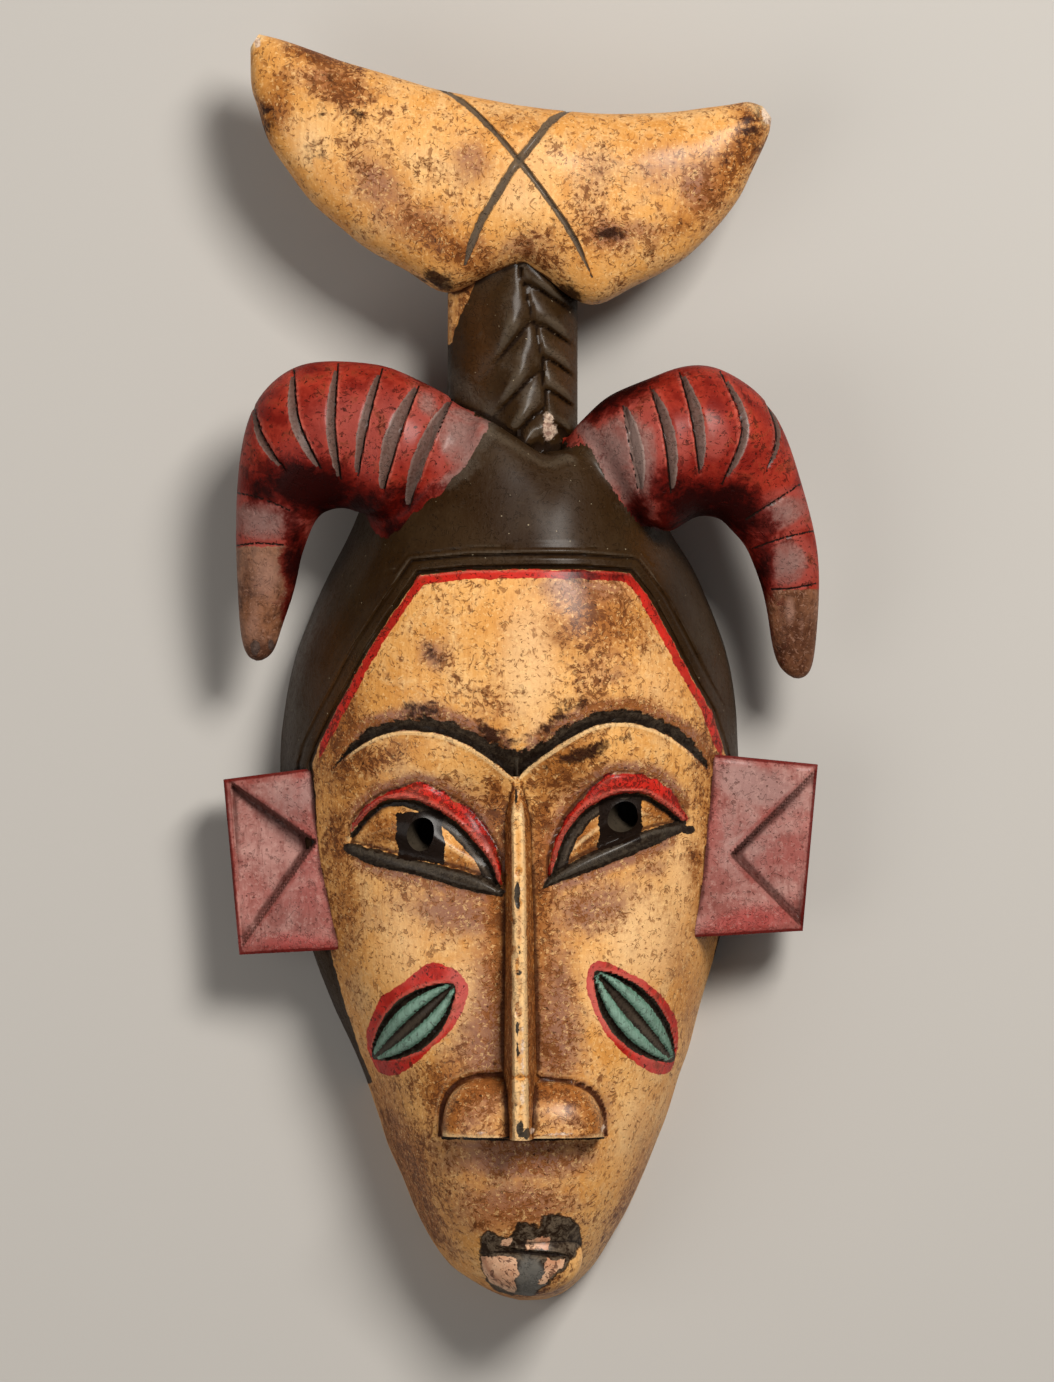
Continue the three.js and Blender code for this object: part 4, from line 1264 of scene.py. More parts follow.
# Broad patches: middle, reach across, reach up, turn in degrees, strength.
PATCHES = {
    "smoke": [
        (-11, -114, 9, 30, 0, 0.95), (12, -110, 9, 30, 0, 0.8), (0, -157, 24, 6, 0, 1.0),
        (-2, -172, 20, 10, 0, 0.75), (-22, -74, 20, 8, -12, 0.85), (26, -72, 18, 9, 18, 0.85),
        (-30, -31, 20, 3.5, -12, 0.55), (-12, -45, 3.5, 12, 35, 0.55), (14, -42, 4, 13, -25, 0.7),
        (26, -30, 12, 4, 15, 0.5), (22, 34, 17, 5, 0, 0.8), (-29, 12, 4, 5, 30, 0.8),
        (-2, 12, 7, 6, 0, 0.4), (30, 8, 9, 10, 20, 0.45), (-5, -6, 10, 5, 0, 0.45),
        (-63, 205, 11, 6, -28, 0.7), (60, 169, 7, 10, 0, 0.8), (39, 155, 8, 4, -15, 0.6),
        (-47, 170, 8, 13, 35, 0.7), (-35, 158, 12, 6, 0, 0.6), (-17, 178, 7, 8, 10, 0.75),
        (30, 153, 7, 5, 0, 0.9), (24, 172, 9, 12, 0, 0.35), (48, 176, 10, 8, 20, 0.5),
        (0, 150, 8, 5, 0, 0.5), (-14, 150, 8, 6, 0, 0.4), (-15, -141, 9, 8, 0, 0.6),
        (16, -141, 10, 7, 0, 0.45), (-27, -140, 4, 9, 0, 0.5), (29, -140, 4, 9, 0, 0.5),
        (-48, -75, 10, 5, -10, 0.4), (44, -60, 12, 4, 15, 0.6), (-12, -60, 5, 12, 0, 0.6),
        (12, -60, 4, 14, 0, 0.7), (0, -152, 26, 3, 0, 0.9),
    ],
    "amber": [
        (-7.5, -60, 3.5, 45, 0, 0.8), (7.5, -60, 3, 45, 0, 0.7), (-25, -133, 9, 8, 20, 0.9),
        (-38, -160, 7, 28, 20, 0.95), (37, -172, 4, 20, -20, 0.6), (-61, -60, 5, 42, 3, 0.55),
        (-46, -22, 14, 4, 30, 0.45), (64, -40, 5, 22, 0, 0.6), (14, -24, 12, 7, 35, 0.8),
        (-4, -176, 14, 6, 0, 0.5), (36, -6, 16, 6, -10, 0.5), (26, 22, 18, 10, 0, 0.7),
        (-83, 196, 5, 12, -15, 0.8), (-68, 214, 14, 3.5, -15, 0.8), (-60, 203, 10, 5, -20, 0.7),
        (-25, 150, 16, 5, -30, 0.8), (72, 178, 5, 16, -35, 0.8), (58, 160, 12, 4, 40, 0.6),
        (78, 194, 5, 5, 0, 0.7), (-4, 190, 12, 4, 0, 0.35), (20, 150, 14, 8, 0, 0.4),
        (55, -100, 5, 28, 10, 0.4), (0, -203, 16, 4, 0, 0.6), (-46, -46, 8, 6, 0, 0.8),
        (-21, -57, 5, 5, 0, 0.7), (22, -49, 5, 6, 0, 0.9), (48, -40, 6, 4, 0, 1.0),
        (-66, 8, 10, 44, 12, 0.9), (70, 2, 9, 40, -10, 0.6), (44, 46, 6, 12, 25, 0.8),
        (94, 20, 7, 16, 5, 0.8), (-87, 12, 8, 5, 0, 1.2), (-91, 34, 3, 10, 0, 0.5),
        (-14, 118, 8, 22, 0, 0.8), (16, 108, 6, 16, 0, 0.9), (78, -78, 17, 6, 8, 0.9),
        (-76, -86, 18, 5, 0, 0.9), (60, -62, 4, 14, 0, 0.6), (-58, -70, 4, 14, 0, 0.6),
    ],
    "soot": [
        (-70, 68, 15, 8, -12, 1.3), (-52, 62, 14, 7, -15, 0.9), (-38, 62, 9, 7, 30, 0.75),
        (-86, 68, 8, 5, -20, 0.9), (58, 62, 12, 8, 20, 1.1), (72, 60, 13, 8, -30, 1.2),
        (50, 68, 8, 8, 0, 0.8), (-30, 106, 14, 3, -30, 0.7), (30, 98, 16, 4, 26, 1.0),
        (-76, 44, 4, 14, 0, 1.0), (82, 42, 4, 14, 0, 0.9), (-41, 54, 6, 6, 0, 0.9),
        (-75.5, 28, 3, 13, -8, 1.0), (45, 52, 6, 6, 0, 0.9), (17, 133, 4, 3.4, -30, 1.4),
        (-28, 66, 6, 5, 30, 0.45), (80.5, 22, 3, 13, 5, 1.0), (40, 61, 5, 5, 30, 0.8),
        (26, 38, 14, 2.5, 0, 0.6), (-86, 188, 4, 8, -15, 0.8), (-66, 176, 3, 8, 30, 0.4),
        (-88, 217, 3, 5, 0, 0.5), (78, 190, 4, 8, -30, 0.5), (-29, 12, 3, 4, 30, 0.8),
        (30, 153, 5, 3, 0, 0.9), (-66, 194, 2.2, 1.8, 0, 0.9), (-54, 194.5, 3, 1.4, -20, 0.9),
        (-64, 206, 6, 3, -30, 0.5), (-28, 139, 8, 3, -25, 0.9), (19, 134, 4, 4, 0, 0.6),
        (-34, -7, 15, 3.5, -8, 0.62), (-9, -15, 8, 3.5, -25, 0.75), (13, -9, 11, 4.5, 32, 0.62),
        (22, -20.5, 13, 2.6, 20, 1.0),
    ],
    "worn": [
        (-18, 84, 9, 12, 35, 1.5), (-31, 96, 5, 7, 20, 0.9), (-48, 88, 24, 13, 0, 0.46),
        (30, 77, 9, 16, -32, 1.6), (41, 74, 4.5, 15, -8, 1.4), (43, 61, 4, 6, 0, 0.9),
        (53, 82, 5, 10, -8, 0.44), (64, 85, 4.5, 6, 0, 0.75), (-86, 57, 12, 6.5, -6, 1.5),
        (-71, 53, 4, 5, 0, 0.5), (86, 59, 11, 5, 22, 1.5), (89.5, 43, 6.5, 7, 0, 1.6),
        (80, -32, 16, 7, -20, 1.1), (76, -50, 18, 18, 0, 0.7), (-74, -36, 12, 8, 15, 0.8),
    ],
    # Dust: a grey film on the dark paint. The patches on the braid's lobes, the dome and the hair
    # band also stand in for sheen, a painted highlight.
    "dust": [
        (-2.5, 126, 6, 7, -40, 0.6), (-3.5, 110, 7, 7, -40, 0.65), (3, 100.5, 4.5, 6, -20, 1.1),
        (12, 120, 5, 8, 30, 0.4), (12, 138, 5, 3, -35, 0.6), (-14, 118, 5, 10, -30, 0.4),
        (-6, 74, 14, 8, 20, 0.35), (14, 70, 16, 10, 0, 0.35), (0, 45, 40, 1.5, 0, 0.6),
        (-20, 60, 8, 6, 30, 0.35), (2, 144, 8, 2, 0, 0.9), (46, 20, 3, 20, 35, 0.5),
        (-46, 20, 3, 20, -35, 0.5), (3.5, -197, 5, 7, 0, 1.1),
    ],
    # Pale: wood rubbed bare at the nub and the tips, and cream flecks under the nose. Along the
    # crown of the nose it is a painted highlight.
    "pale": [
        (9.6, 88.3, 2.3, 4.6, 5, 1.2), (83.5, 193.5, 1.6, 3, 20, 1.2),
        (-88.6, 218.5, 1.3, 2, 0, 1.1), (4, -146, 1.2, 1.4, 0, 0.9), (-13, -147.4, 3, 0.7, 0, 1.0),
        (12, -147.6, 7, 0.5, 0, 1.1), (28, -146, 1, 1.2, 0, 1.0), (0.8, -125, 0.9, 26, 0, 0.7),
        (0.5, -60, 1, 14, 0, 0.4),
    ],
    # Bright: cleaner, paler paint. On the ochre and on the horn tips these patches also stand in
    # for light falling there, a painted highlight.
    "bright": [
        (3, 10, 9, 20, 0, 1.0), (6, -12, 4, 9, 0, 0.8), (46, 0, 10, 12, 0, 0.5),
        (-40, -84, 11, 18, 0, 0.6), (42, -82, 13, 16, 0, 1.0), (54, -62, 8, 20, 0, 0.7),
        (-52, -60, 7, 18, 0, 0.4), (24, -92, 5, 8, 0, 0.6), (-22, -92, 5, 10, 0, 0.4),
        (44, -120, 8, 18, 0, 0.5), (-30, 178, 14, 6, -20, 0.5), (0, 166, 10, 7, 0, 0.8),
        (-70, 186, 6, 9, -35, 0.6), (-26, 170, 9, 6, 0, 0.3), (3, 176, 10, 10, 0, 0.6),
        (-35, -28, 14, 3, 5, 0.4), (-19, -100, 6, 12, 0, 0.9), (27, -102, 5, 13, 12, 0.9),
        (38, -146, 8, 18, -15, 0.6), (91, 27, 1.8, 5, 0, 1.0), (95, 22, 1.2, 5, 0, 0.7),
        (-85, 38, 5, 9, 0, 0.9), (-90, 24, 3, 8, -10, 0.6),
    ],
}
# Dark spots on the bars under the eyes: middle, reach across, reach up.
INK_SPOTS = [(-57.8, -52.5, 1.7, 1.5), (56.4, -46.8, 2.4, 1.6)]
# The crack down the nose.
CRACK = [(-0.4, -83.5), (-0.4, -96), (-0.2, -104), (-0.9, -114), (-0.5, -123), (-1.2, -133),
         (-1.3, -140), (-0.4, -147.8)]
# Nicks in the left horn's tip and chips down the nose: middle, reach across, reach up.
HORN_NICKS = [(-89.4, 14.6, 1.8, 3.0), (-84.2, 15.4, 1.2, 2.4)]
NOSE_CHIPS = [(-0.9, -67.5, 1.0, 4), (-0.6, -71.5, 0.6, 2.2), (0.4, -90, 0.45, 2.5),
              (0.1, -145.2, 0.9, 3.2), (2.4, -146.8, 1.3, 1.8), (-1.2, -35, 0.4, 2.5)]
# Black painted round the pupils.
IRIS_PATCHES = [
    [(-41.5, -40.5), (-26, -40), (-25, -58), (-41, -56)],
    [(26.5, -36), (41, -36), (40.5, -50), (26, -53)],
]
# Where the paint of the mouth is lost, and the pink that is left on the lips.
MOUTH_LOSS = [
    (-13.5, -188.4), (-11.1, -181.6), (-6.7, -182.7), (-3.7, -184.3), (-0.7, -177.9),
    (6.4, -180.3), (7.4, -175.9), (12.8, -175.6), (17.9, -177.6), (20.6, -182.7), (20.2, -186.7),
    (17.2, -191.1), (12.8, -195.5), (9.1, -198.8), (4.4, -203.2), (-2.7, -204.2), (-6.7, -202.9),
    (-10.4, -200.5), (-12.5, -194),
]
LIP_COLOUR = [
    [(-14.5, -189.6), (-6, -189.4), (-0.6, -190.2), (-0.2, -195), (-1.6, -198), (-1.2, -201.8),
     (-4, -202), (-8, -200.6), (-11.2, -198.2), (-12.4, -194)],
    [(9, -190.2), (15.6, -190.4), (14, -193.3), (9.7, -197.5), (7.6, -199.3), (6.4, -198.8),
     (8.2, -194)],
    [(2.4, -183.6), (10, -183.2), (9.6, -187.2), (2, -187.4)],
    [(-6.4, -184.2), (-3.2, -183.8), (-3.8, -186.2), (-6.4, -186)],
]


def patches(table, x, y):
    """Soft-edged broad patches, from 0 to 1."""
    total = np.zeros(x.shape)
    for middle_x, middle_y, across, up, turn, strength in table:
        c, s = math.cos(math.radians(turn)), math.sin(math.radians(turn))
        dx, dy = x - middle_x, y - middle_y
        u, v = (dx * c + dy * s) / across, (dy * c - dx * s) / up
        total = np.maximum(total, strength * np.exp(-0.7 * (u * u + v * v)))
    return total


def hollowness(block):
    """How far each point lies under the smoothed surface, in millimetres. It sets where shade is
    painted into hollows and highlights onto raised edges.
    """
    place = places_of(block)
    soft = place.copy()
    ends = edge_ends(block.data)
    lengths = np.linalg.norm(place[ends[:, 0]] - place[ends[:, 1]], axis=1)
    around = np.bincount(ends.ravel(), np.repeat(lengths, 2)) / np.bincount(ends.ravel())
    relax(block.data, soft, np.clip(0.8 / around, 0, 1) ** 2, 14)
    return ((soft - place) * points_normal(block.data)).sum(axis=1)


def spots(table, x, y):
    """Millimetres inside the nearest of a few ovals."""
    inside = np.full(x.shape, NOWHERE)
    for middle_x, middle_y, across, up in table:
        reach = 1 - np.hypot((x - middle_x) / across, (y - middle_y) / up)
        inside = np.maximum(inside, np.clip(reach, -9, 1) * min(across, up))
    return inside


def fringe(line, x, y, upper=1):
    """1 on one side of a line that runs to the right, 0 on the other and off its ends."""
    _, share, side = near_line(line_through(line, 60), x, y, 20.0)
    return (side * upper > 0) * ease(0, 0.1, share) * ease(1, 0.9, share)


def widen(zones, name, places):
    """Let a paint reach further places too."""
    zones[name] = np.maximum(zones[name], places)


def zones_of_eyes(zones, x, y, wobble):
    """Red lids, black bars with a black line along their tops, smoke above and below, and under
    each lid a painted shadow that is black, widens toward one corner and is greyed inside.
    """
    for (eye_top, lid_top, bar_top, bar_bottom), from_left in zip(EYES, (True, False)):
        _, lid, _ = between(eye_top, lid_top, x, y)
        _, bar, _ = between(bar_bottom, bar_top, x, y)
        _, ball, to_bar = between(bar_top, eye_top, x, y)
        to_lid, along, _ = near_line(line_through(eye_top, 60), x, y)
        shade = 1.5 + 2.4 * ease(0.15, 0.6, along if from_left else 1 - along) - to_lid
        above_lid = np.maximum(fringe(lid_top, x, y), lid > 0)
        below_bar = np.maximum(fringe(bar_bottom, x, y, -1), bar > 0)
        widen(zones, "red", lid + 1.3 * wobble * ease(0.8, 2.2, to_lid))
        # The black laid inside the shade band under the lid is painted shadow, and the grey laid in
        # it below belongs to that painted shadow.
        for black in (bar + 0.3, np.minimum(ball + 0.3, shade), 0.5 - to_bar):
            widen(zones, "ink", black)
        widen(zones, "dust", ease(0.2, 1.4, np.minimum(ball, shade)) * 0.9)
        widen(zones, "dust", 0.2 * ease(0.7, 1.5, bar))
        widen(zones, "smoke", 1.2 * np.exp(-(np.minimum(lid, 0) / 4.0) ** 2) * above_lid)
        widen(zones, "smoke", np.exp(-(np.minimum(bar, 0) / 4.5) ** 2) * below_bar)


def zones_of_brows(zones, x, y, wobble):
    """Black along the lower edge of each brow, a grey film in it, smoke above, and no painted
    highlight on its upper edge.
    """
    for lower, upper in BROWS:
        _, depth, _ = between(lower, upper, x, y)
        to_top, _, _ = near_line(line_through(upper, 60), x, y)
        above = np.maximum(fringe(upper, x, y), depth > 0)
        widen(zones, "ink", np.minimum(depth, 0.3 * to_top - 0.15 + 0.3 * wobble))
        widen(zones, "dust", 0.45 * ease(0, 1, depth) * ease(2, 12, np.abs(x)))
        widen(zones, "smoke", 1.1 * np.exp(-(np.minimum(depth, 0) / 3.6) ** 2) * above)
        widen(zones, "calm", 2.0 - to_top)


def zones_of_leaves(zones, x, y):
    """Red ring, black ground, green strips and a dusty middle groove of each cheek leaf."""
    for leaf, ring in zip(CHEEK_LEAVES, LEAF_RINGS):
        along, across, width = leaf_place(leaf, x, y)
        inside = np.where((along > 0) & (along < 1), (1.08 - np.abs(across)) * width, -5)
        strip = np.minimum(np.abs(across) - 0.24, 0.76 - np.abs(across)) * width
        widen(zones, "ink", inside)
        widen(zones, "dust", 0.8 * ease(0.22, 0.1, np.abs(across)) * (inside > 0))
        widen(zones, "green", np.where((along > 0.03) & (along < 0.97), strip, -5))
        widen(zones, "red", depth_in(closed_line(ring, 60), x, y))


def zones_of_nose(zones, x, y, wobble):
    """The line under the nose, its crack and chips, and painted shade in the groove round each
    wing, laid with the smoke and soot colours.
    """
    crack, _, _ = near_line(line_through(CRACK, 40), x, y)
    wing_groove_shade = np.exp(-(wing_gap(x, y) - 0.8) ** 2) * ease(5.4, 7, np.abs(x))
    zones["chips"] = np.maximum.reduce([spots(NOSE_CHIPS, x, y), 0.2 - crack + 0.55 * wobble,
                                        0.2 - np.abs(y - NOSE_CHIPPED_EDGE) + 0.4 * wobble])
    widen(zones, "ink", 0.45 - np.abs(y - NOSE_UNDERLINE) - 9 * (np.abs(x - 1.2) > 28))
    # Painted shade in the groove round each wing of the nose.
    widen(zones, "smoke", wing_groove_shade)
    widen(zones, "soot", 0.8 * wing_groove_shade)


def zones_of_horns(zones, x, y, z, wobble):
    """Where the red of the horns ends on the dome, their grooves and creases and their tips."""
    sides = [depth_in(outline, x, y, 30) for outline in HORN_ROOTS]
    root = 1.2 * wobble + np.maximum(*sides)
    faded = ease(0, 10, y - np.where(x < 0, *HORN_FADE_LEVELS)) * ease(43, 34, np.abs(x))
    past, band = groove_places(x, y, z)
    nicks = spots(HORN_NICKS, x, y)
    facet = np.where((past < 30) & (band > 1.2), np.minimum(past + 0.35, band - past), -9)
    crease = np.where((past < 30) & (band > 0.15), 0.42 - np.abs(past + 0.05), -9)
    front = ease(8, 16, z)
    zones["root"] = root * front - 5 * (1 - front)
    zones["facet"] = np.maximum(facet, nicks)
    zones["crease"] = np.maximum(crease, 0.12 - np.abs(nicks))
    zones["tip"] = np.where(x < 0, *HORN_TIP_LEVELS) - y
    widen(zones, "dust", 0.9 * np.exp(-(root / 5) ** 2) * faded)
    widen(zones, "worn", 1.4 * np.exp(-(root / 3.5) ** 2) * faded)


def crest_cross(x, y):
    """Millimetres inside the two cuts across the crest."""
    cross = np.full(x.shape, NOWHERE)
    for line, width in zip(CREST_CUTS, CREST_CUT_WIDTHS):
        gap, share, _ = near_line(line_through(line, 30), x, y)
        taper = np.minimum(1, 0.35 + 5 * np.minimum(share, 1 - share))
        cross = np.maximum(cross, width * 0.95 * taper - gap)
    return cross


def paint_zones(block):
    """Millimetres inside each kind of paint, or shares from 0 to 1, for each point."""
    x, y, z = places_of(block).T
    face = face_depth(x, y)
    wobble = uneven(places_of(block), 4.0, 12.0)
    zones = {name: patches(table, x, y) for name, table in PATCHES.items()}
    zones.update(
        face=face,
        tongue=depth_in(TONGUE, x, y) + 0.8 * wobble,
        red=1.45 - np.abs(face - 1.5) + 0.3 * wobble - 2.5 * ease(-14, -34, y),
        ink=spots(INK_SPOTS, x, y),
        green=np.full(x.shape, NOWHERE),
        calm=np.full(x.shape, NOWHERE),
        iris=np.maximum.reduce([depth_in(patch, x, y) for patch in IRIS_PATCHES]),
        cross=crest_cross(x, y),
        fold=0.55 - np.minimum(*[near_line(recess, x, y)[0] for _, recess in EARS]),
        rim=0.95 - np.maximum(*[depth_in(corners, x, y) for corners, _ in EARS]),
        lip=depth_in(MOUTH_LOSS, x, y) + 0.7 * wobble,
        flesh=np.maximum.reduce([depth_in(patch, x, y) for patch in LIP_COLOUR]) + 0.8 * wobble,
        # Steep: how far the surface turns away from the face. It darkens the sides of the nose with
        # amber, a painted shade.
        steep=ease(0.985, 0.8, points_normal(block.data)[:, 2]),
        hollow=hollowness(block),
    )
    zones_of_eyes(zones, x, y, wobble)
    zones_of_brows(zones, x, y, wobble)
    zones_of_leaves(zones, x, y)
    zones_of_nose(zones, x, y, wobble)
    zones_of_horns(zones, x, y, z, wobble)
    for name in PATCHES:
        zones[name] = zones[name] * ease(8, 16, z)
    return zones


def write_zones(block):
    """Store the paint zones on the corners of the faces, so that they end sharply at each part."""
    part, corner = corner_parts(block.data)
    at = {name: values[corner] for name, values in paint_zones(block).items()}

    def on(*parts):
        return np.isin(part, parts)

    plain = on(NOSE_PART, LIPS_PART, CREST_PART)
    horn, head, ear = on(HORN_PART), on(HEAD_PART), on(EAR_PART)
    mouth = on(LIPS_PART, HEAD_PART)
    # Along the crest cuts and the tops of the brows the painted highlight of raised edges is held
    # back.
    still = (on(CREST_PART) & (at["cross"] > -4)) | (head & (at["calm"] > 0))
    fields = {name: at[name] for name in PATCHES}
    fields.update(
        ochre=np.select([plain, head, on(NECK_PART)], [20, at["face"], at["tongue"]], NOWHERE),
        red=np.select([horn, head, ear],
                      [20, np.maximum(at["red"], at["root"]), at["rim"]], NOWHERE),
        horn=np.select([horn, head], [1, ease(-2, -0.5, at["root"])], 0),
        ink=np.select([head, on(NOSE_PART)], [at["ink"], at["chips"]], NOWHERE),
        green=np.where(head, at["green"], NOWHERE),
        iris=np.where(head, at["iris"], NOWHERE),
        tip=np.where(horn, at["tip"], NOWHERE),
        facet=np.select([horn | head, on(CREST_PART)], [at["facet"], at["cross"]], -9),
        crease=np.select([horn | head, ear], [at["crease"], at["fold"]], -9),
        lip=np.where(mouth, at["lip"], -9),
        flesh=np.where(mouth, at["flesh"], -9),
        # The steep sides of the nose are darkened with amber, a painted shade.
        amber=np.maximum(at["amber"], 0.8 * at["steep"] * on(NOSE_PART)),
        ear=ear * 1.0,
        bare=on(HOLLOW_PART) * 1.0,
        hole=on(HOLE_PART) * 1.0,
        hollow=np.where(still, np.maximum(at["hollow"], -0.1), at["hollow"]),
    )
    for name in ZONES:
        field = block.data.attributes.new(name, "FLOAT", "CORNER")
        field.data.foreach_set("value", fields[name].astype(np.float32))


# Paint and varnish


class Paint(Work):
    """A material whose node tree is written as expressions."""

    def __init__(self, name):
        self.material = bpy.data.materials.new(name)
        self.material.use_nodes = True
        self.tree = self.material.node_tree
        self.shader = self.tree.nodes["Principled BSDF"]
        self.place = self.node("ShaderNodeTexCoord", {}, out="Object")

    def field(self, name):
        return self.node("ShaderNodeAttribute", {"attribute_name": name}, out="Fac")

    def stretched(self, x, y, z):
        return self.node("ShaderNodeVectorMath", {"operation": "MULTIPLY"}, self.place, (x, y, z))

    def shifted(self, x, y, z):
        return self.node("ShaderNodeVectorMath", {"operation": "ADD"}, self.place, (x, y, z))

    def noise(self, size, detail=2.0, rough=0.5, warp=0.0, place=None):
        """Soft noise from 0 to 1 with humps of about this size in millimetres."""
        return self.node("ShaderNodeTexNoise", {}, Vector=place or self.place,
                         Scale=1000.0 / size, Detail=detail, Roughness=rough, Distortion=warp)

    def blend(self, share, first, second):
        """The first colour, covered by the second for this share."""
        return self.node("ShaderNodeMix", {"data_type": "RGBA"}, share,
                         at={6: first, 7: second}, out=2)

    def coats(self, colour, *layers):
        """Thin coats over a colour: the share of the surface that each covers, then its colour."""
        for share, coat in layers:
            colour = self.blend(share, colour, coat)
        return colour

    def strokes(self, size, cover, start):
        """Above 0 in short wandering marks that taper at both ends, more where cover is greater."""
        level = self.noise(size, 1.5, 0.5, 1.6, self.shifted(start, 0.3, 0.2))
        gate = self.noise(size * 0.62, 1, 0.5, 0, self.shifted(0.4, start, 0.7))
        return (gate - 0.5 + cover) * 0.33 - (level - 0.5).size()

    def finish(self, colour, roughness, height, depth):
        """Feed the shader, with fine relief of this depth in metres, and give the material."""
        bump = self.node("ShaderNodeBump", {}, Strength=1.0, Distance=depth, Height=height)
        for label, value in (("Base Color", colour), ("Roughness", roughness), ("Normal", bump)):
            self.feed(self.shader.inputs[label], value)
        return self.material


# The two colours that each paint or wood wanders between.
OCHRE = (0.64, 0.285, 0.066), (0.77, 0.405, 0.130)
HAIR_BLACK = (0.022, 0.0088, 0.0016), (0.033, 0.0165, 0.0058)
HORN_RED = (0.16, 0.008, 0.004), (0.38, 0.036, 0.018)
DUSTY_PINK = (0.19, 0.082, 0.068), (0.31, 0.165, 0.140)
LINE_BLACK = (0.012, 0.006, 0.003), (0.044, 0.031, 0.019)
SAGE = (0.065, 0.140, 0.095), (0.17, 0.31, 0.235)
LIP_PINK = (0.50, 0.235, 0.13), (0.70, 0.42, 0.26)
EAR_PINK = (0.25, 0.082, 0.068), (0.43, 0.225, 0.195)
FILLER = (0.020, 0.0095, 0.004), (0.120, 0.086, 0.056)
GREY_WOOD = (0.085, 0.054, 0.042), (0.125, 0.084, 0.070)
TIP_WOOD = (0.075, 0.025, 0.011), (0.235, 0.098, 0.048)
RAW_WOOD = (0.115, 0.058, 0.028), (0.235, 0.128, 0.066)
# Pale wood where the paint is rubbed through, and the colour of the painted highlight down the
# nose.
RUBBED_WOOD_AND_HIGHLIGHT = (0.33, 0.20, 0.15), (0.76, 0.58, 0.44)
# Dark colours that cover a place evenly.
CREST_CUT_SHADE = (0.090, 0.070, 0.050)
CREASE_SHADE = (0.010, 0.004, 0.0025)
IRIS_BLACK = (0.009, 0.004, 0.002)
LOSS_EDGE_SHADE = (0.016, 0.009, 0.006)
PUPIL_WALL_SHADE = (0.055, 0.042, 0.029)
VARNISH_ROUGHNESS = 0.24
PAINT_SHINE = 0.06
PAINT_GRAIN_DEPTH = 0.4 * MM


def weathering(p):
    """The stored fields, the patterns of age and wear that all the paints share, and the masks for
    painted shade in hollows and painted highlights along raised edges.
    """
    m = SimpleNamespace(**{name: p.field(name) for name in ZONES})
    m.wavy = p.noise(4.5, 2) - 0.5
    m.ragged = p.noise(1.3, 3, 0.6) - 0.5
    m.edge = m.wavy * 1.6 + m.ragged * 1.1
    m.broad = p.noise(34, 3, 0.55)
    m.patchy = p.noise(13, 4, 0.62, 0.4)
    m.clumps = p.noise(5.0, 4, 0.66, 0.8, p.shifted(0.2, 0.6, 0.3))
    m.fine = p.noise(1.1, 3, 0.65)
    m.streaks = p.noise(1.0, 3, 0.6, 0.3, p.stretched(0.9, 0.12, 0.9))
    m.mottle = (m.patchy - 0.5) * 1.3 + (m.clumps - 0.5) * 1.1 + m.ragged * 0.5
    m.aged = (m.smoke * 0.5 + m.amber * 0.65 + m.mottle * 1.1 + (m.broad - 0.5) * 1.5 + 0.1
              - m.bright * 0.55).above(0.0, 0.95)
    long_marks = p.strokes(5.5, m.aged * 0.19 - 0.06, 0.9)
    m.marks = long_marks.most(p.strokes(2.8, m.aged * 0.2 - 0.06, 0.1))
    m.lines = m.marks.above(-0.004, 0.026)
    m.specks = p.noise(1.7, 1.5, 0.5, 0, p.shifted(0.5, 0.2, 0.4)).above(0.68, 0.72)
    m.lights = p.strokes(2.4, 0.02, 0.5).above(0.0, 0.02)
    m.clear = 1.0 - m.smoke.above(0.3, 1.0) * 0.6
    # Painted shade in hollows and painted highlights along raised edges, taken from how far each
    # point lies under or above the smoothed surface.
    m.deep = (m.hollow + m.fine * 0.2 - 0.10).above(0.06, 0.55)
    m.ridge = (0.0 - m.hollow + m.fine * 0.25 - 0.12).above(0.16, 0.5)
    m.dusty = p.noise(2.2, 4, 0.7, 0.6)
    m.loss = m.lip + m.edge * 1.5
    return m


def ochre_paint(p, m):
    """Ochre of the face and the crest, browned with age, scratched, smoked and chipped. It is paler
    where it is cleaner and, as a painted highlight, where light falls most. It also has painted
    shade in hollows and painted highlights along raised edges.
    """
    return p.coats(
        p.blend(m.broad.above(0.38, 0.62), *OCHRE),
        ((m.patchy + m.clumps * 0.4).above(0.62, 0.9) * 0.8, (0.90, 0.57, 0.25)),
        (m.streaks.above(0.42, 0.7) * 0.45, (0.50, 0.19, 0.036)),
        (m.bright.above(0.1, 0.9) * 0.6, (0.81, 0.52, 0.265)),
        (m.aged * 0.6, (0.42, 0.155, 0.032)),
        ((m.smoke + m.mottle * 0.45 - m.bright * 0.3).above(0.02, 0.85) * 0.85,
         (0.235, 0.105, 0.080)),
        ((m.amber + m.mottle * 0.8).above(0.0, 0.75) * 0.85, (0.27, 0.082, 0.012)),
        (m.marks.above(-0.04, 0.01) * (m.aged * 0.35 + 0.4), (0.38, 0.130, 0.028)),
        (m.lights * 0.45, (0.88, 0.56, 0.24)),
        ((m.clumps - 0.5 + m.aged * 0.12).above(0.1, 0.2) * m.aged * m.clear * 0.6,
         (0.14, 0.042, 0.010)),
        (m.lines * m.clear * (m.aged * 0.45 + 0.42), (0.105, 0.029, 0.007)),
        ((m.specks * (m.aged * 0.8 + 0.2)).least(1.0) * 0.85, (0.045, 0.012, 0.004)),
        ((m.soot + m.mottle * 1.2).above(0.3, 0.8) * 0.93, (0.022, 0.0065, 0.0035)),
        (m.deep * 0.9, (0.055, 0.014, 0.004)),
        (m.ridge * 0.55, (0.92, 0.64, 0.32)),
    )


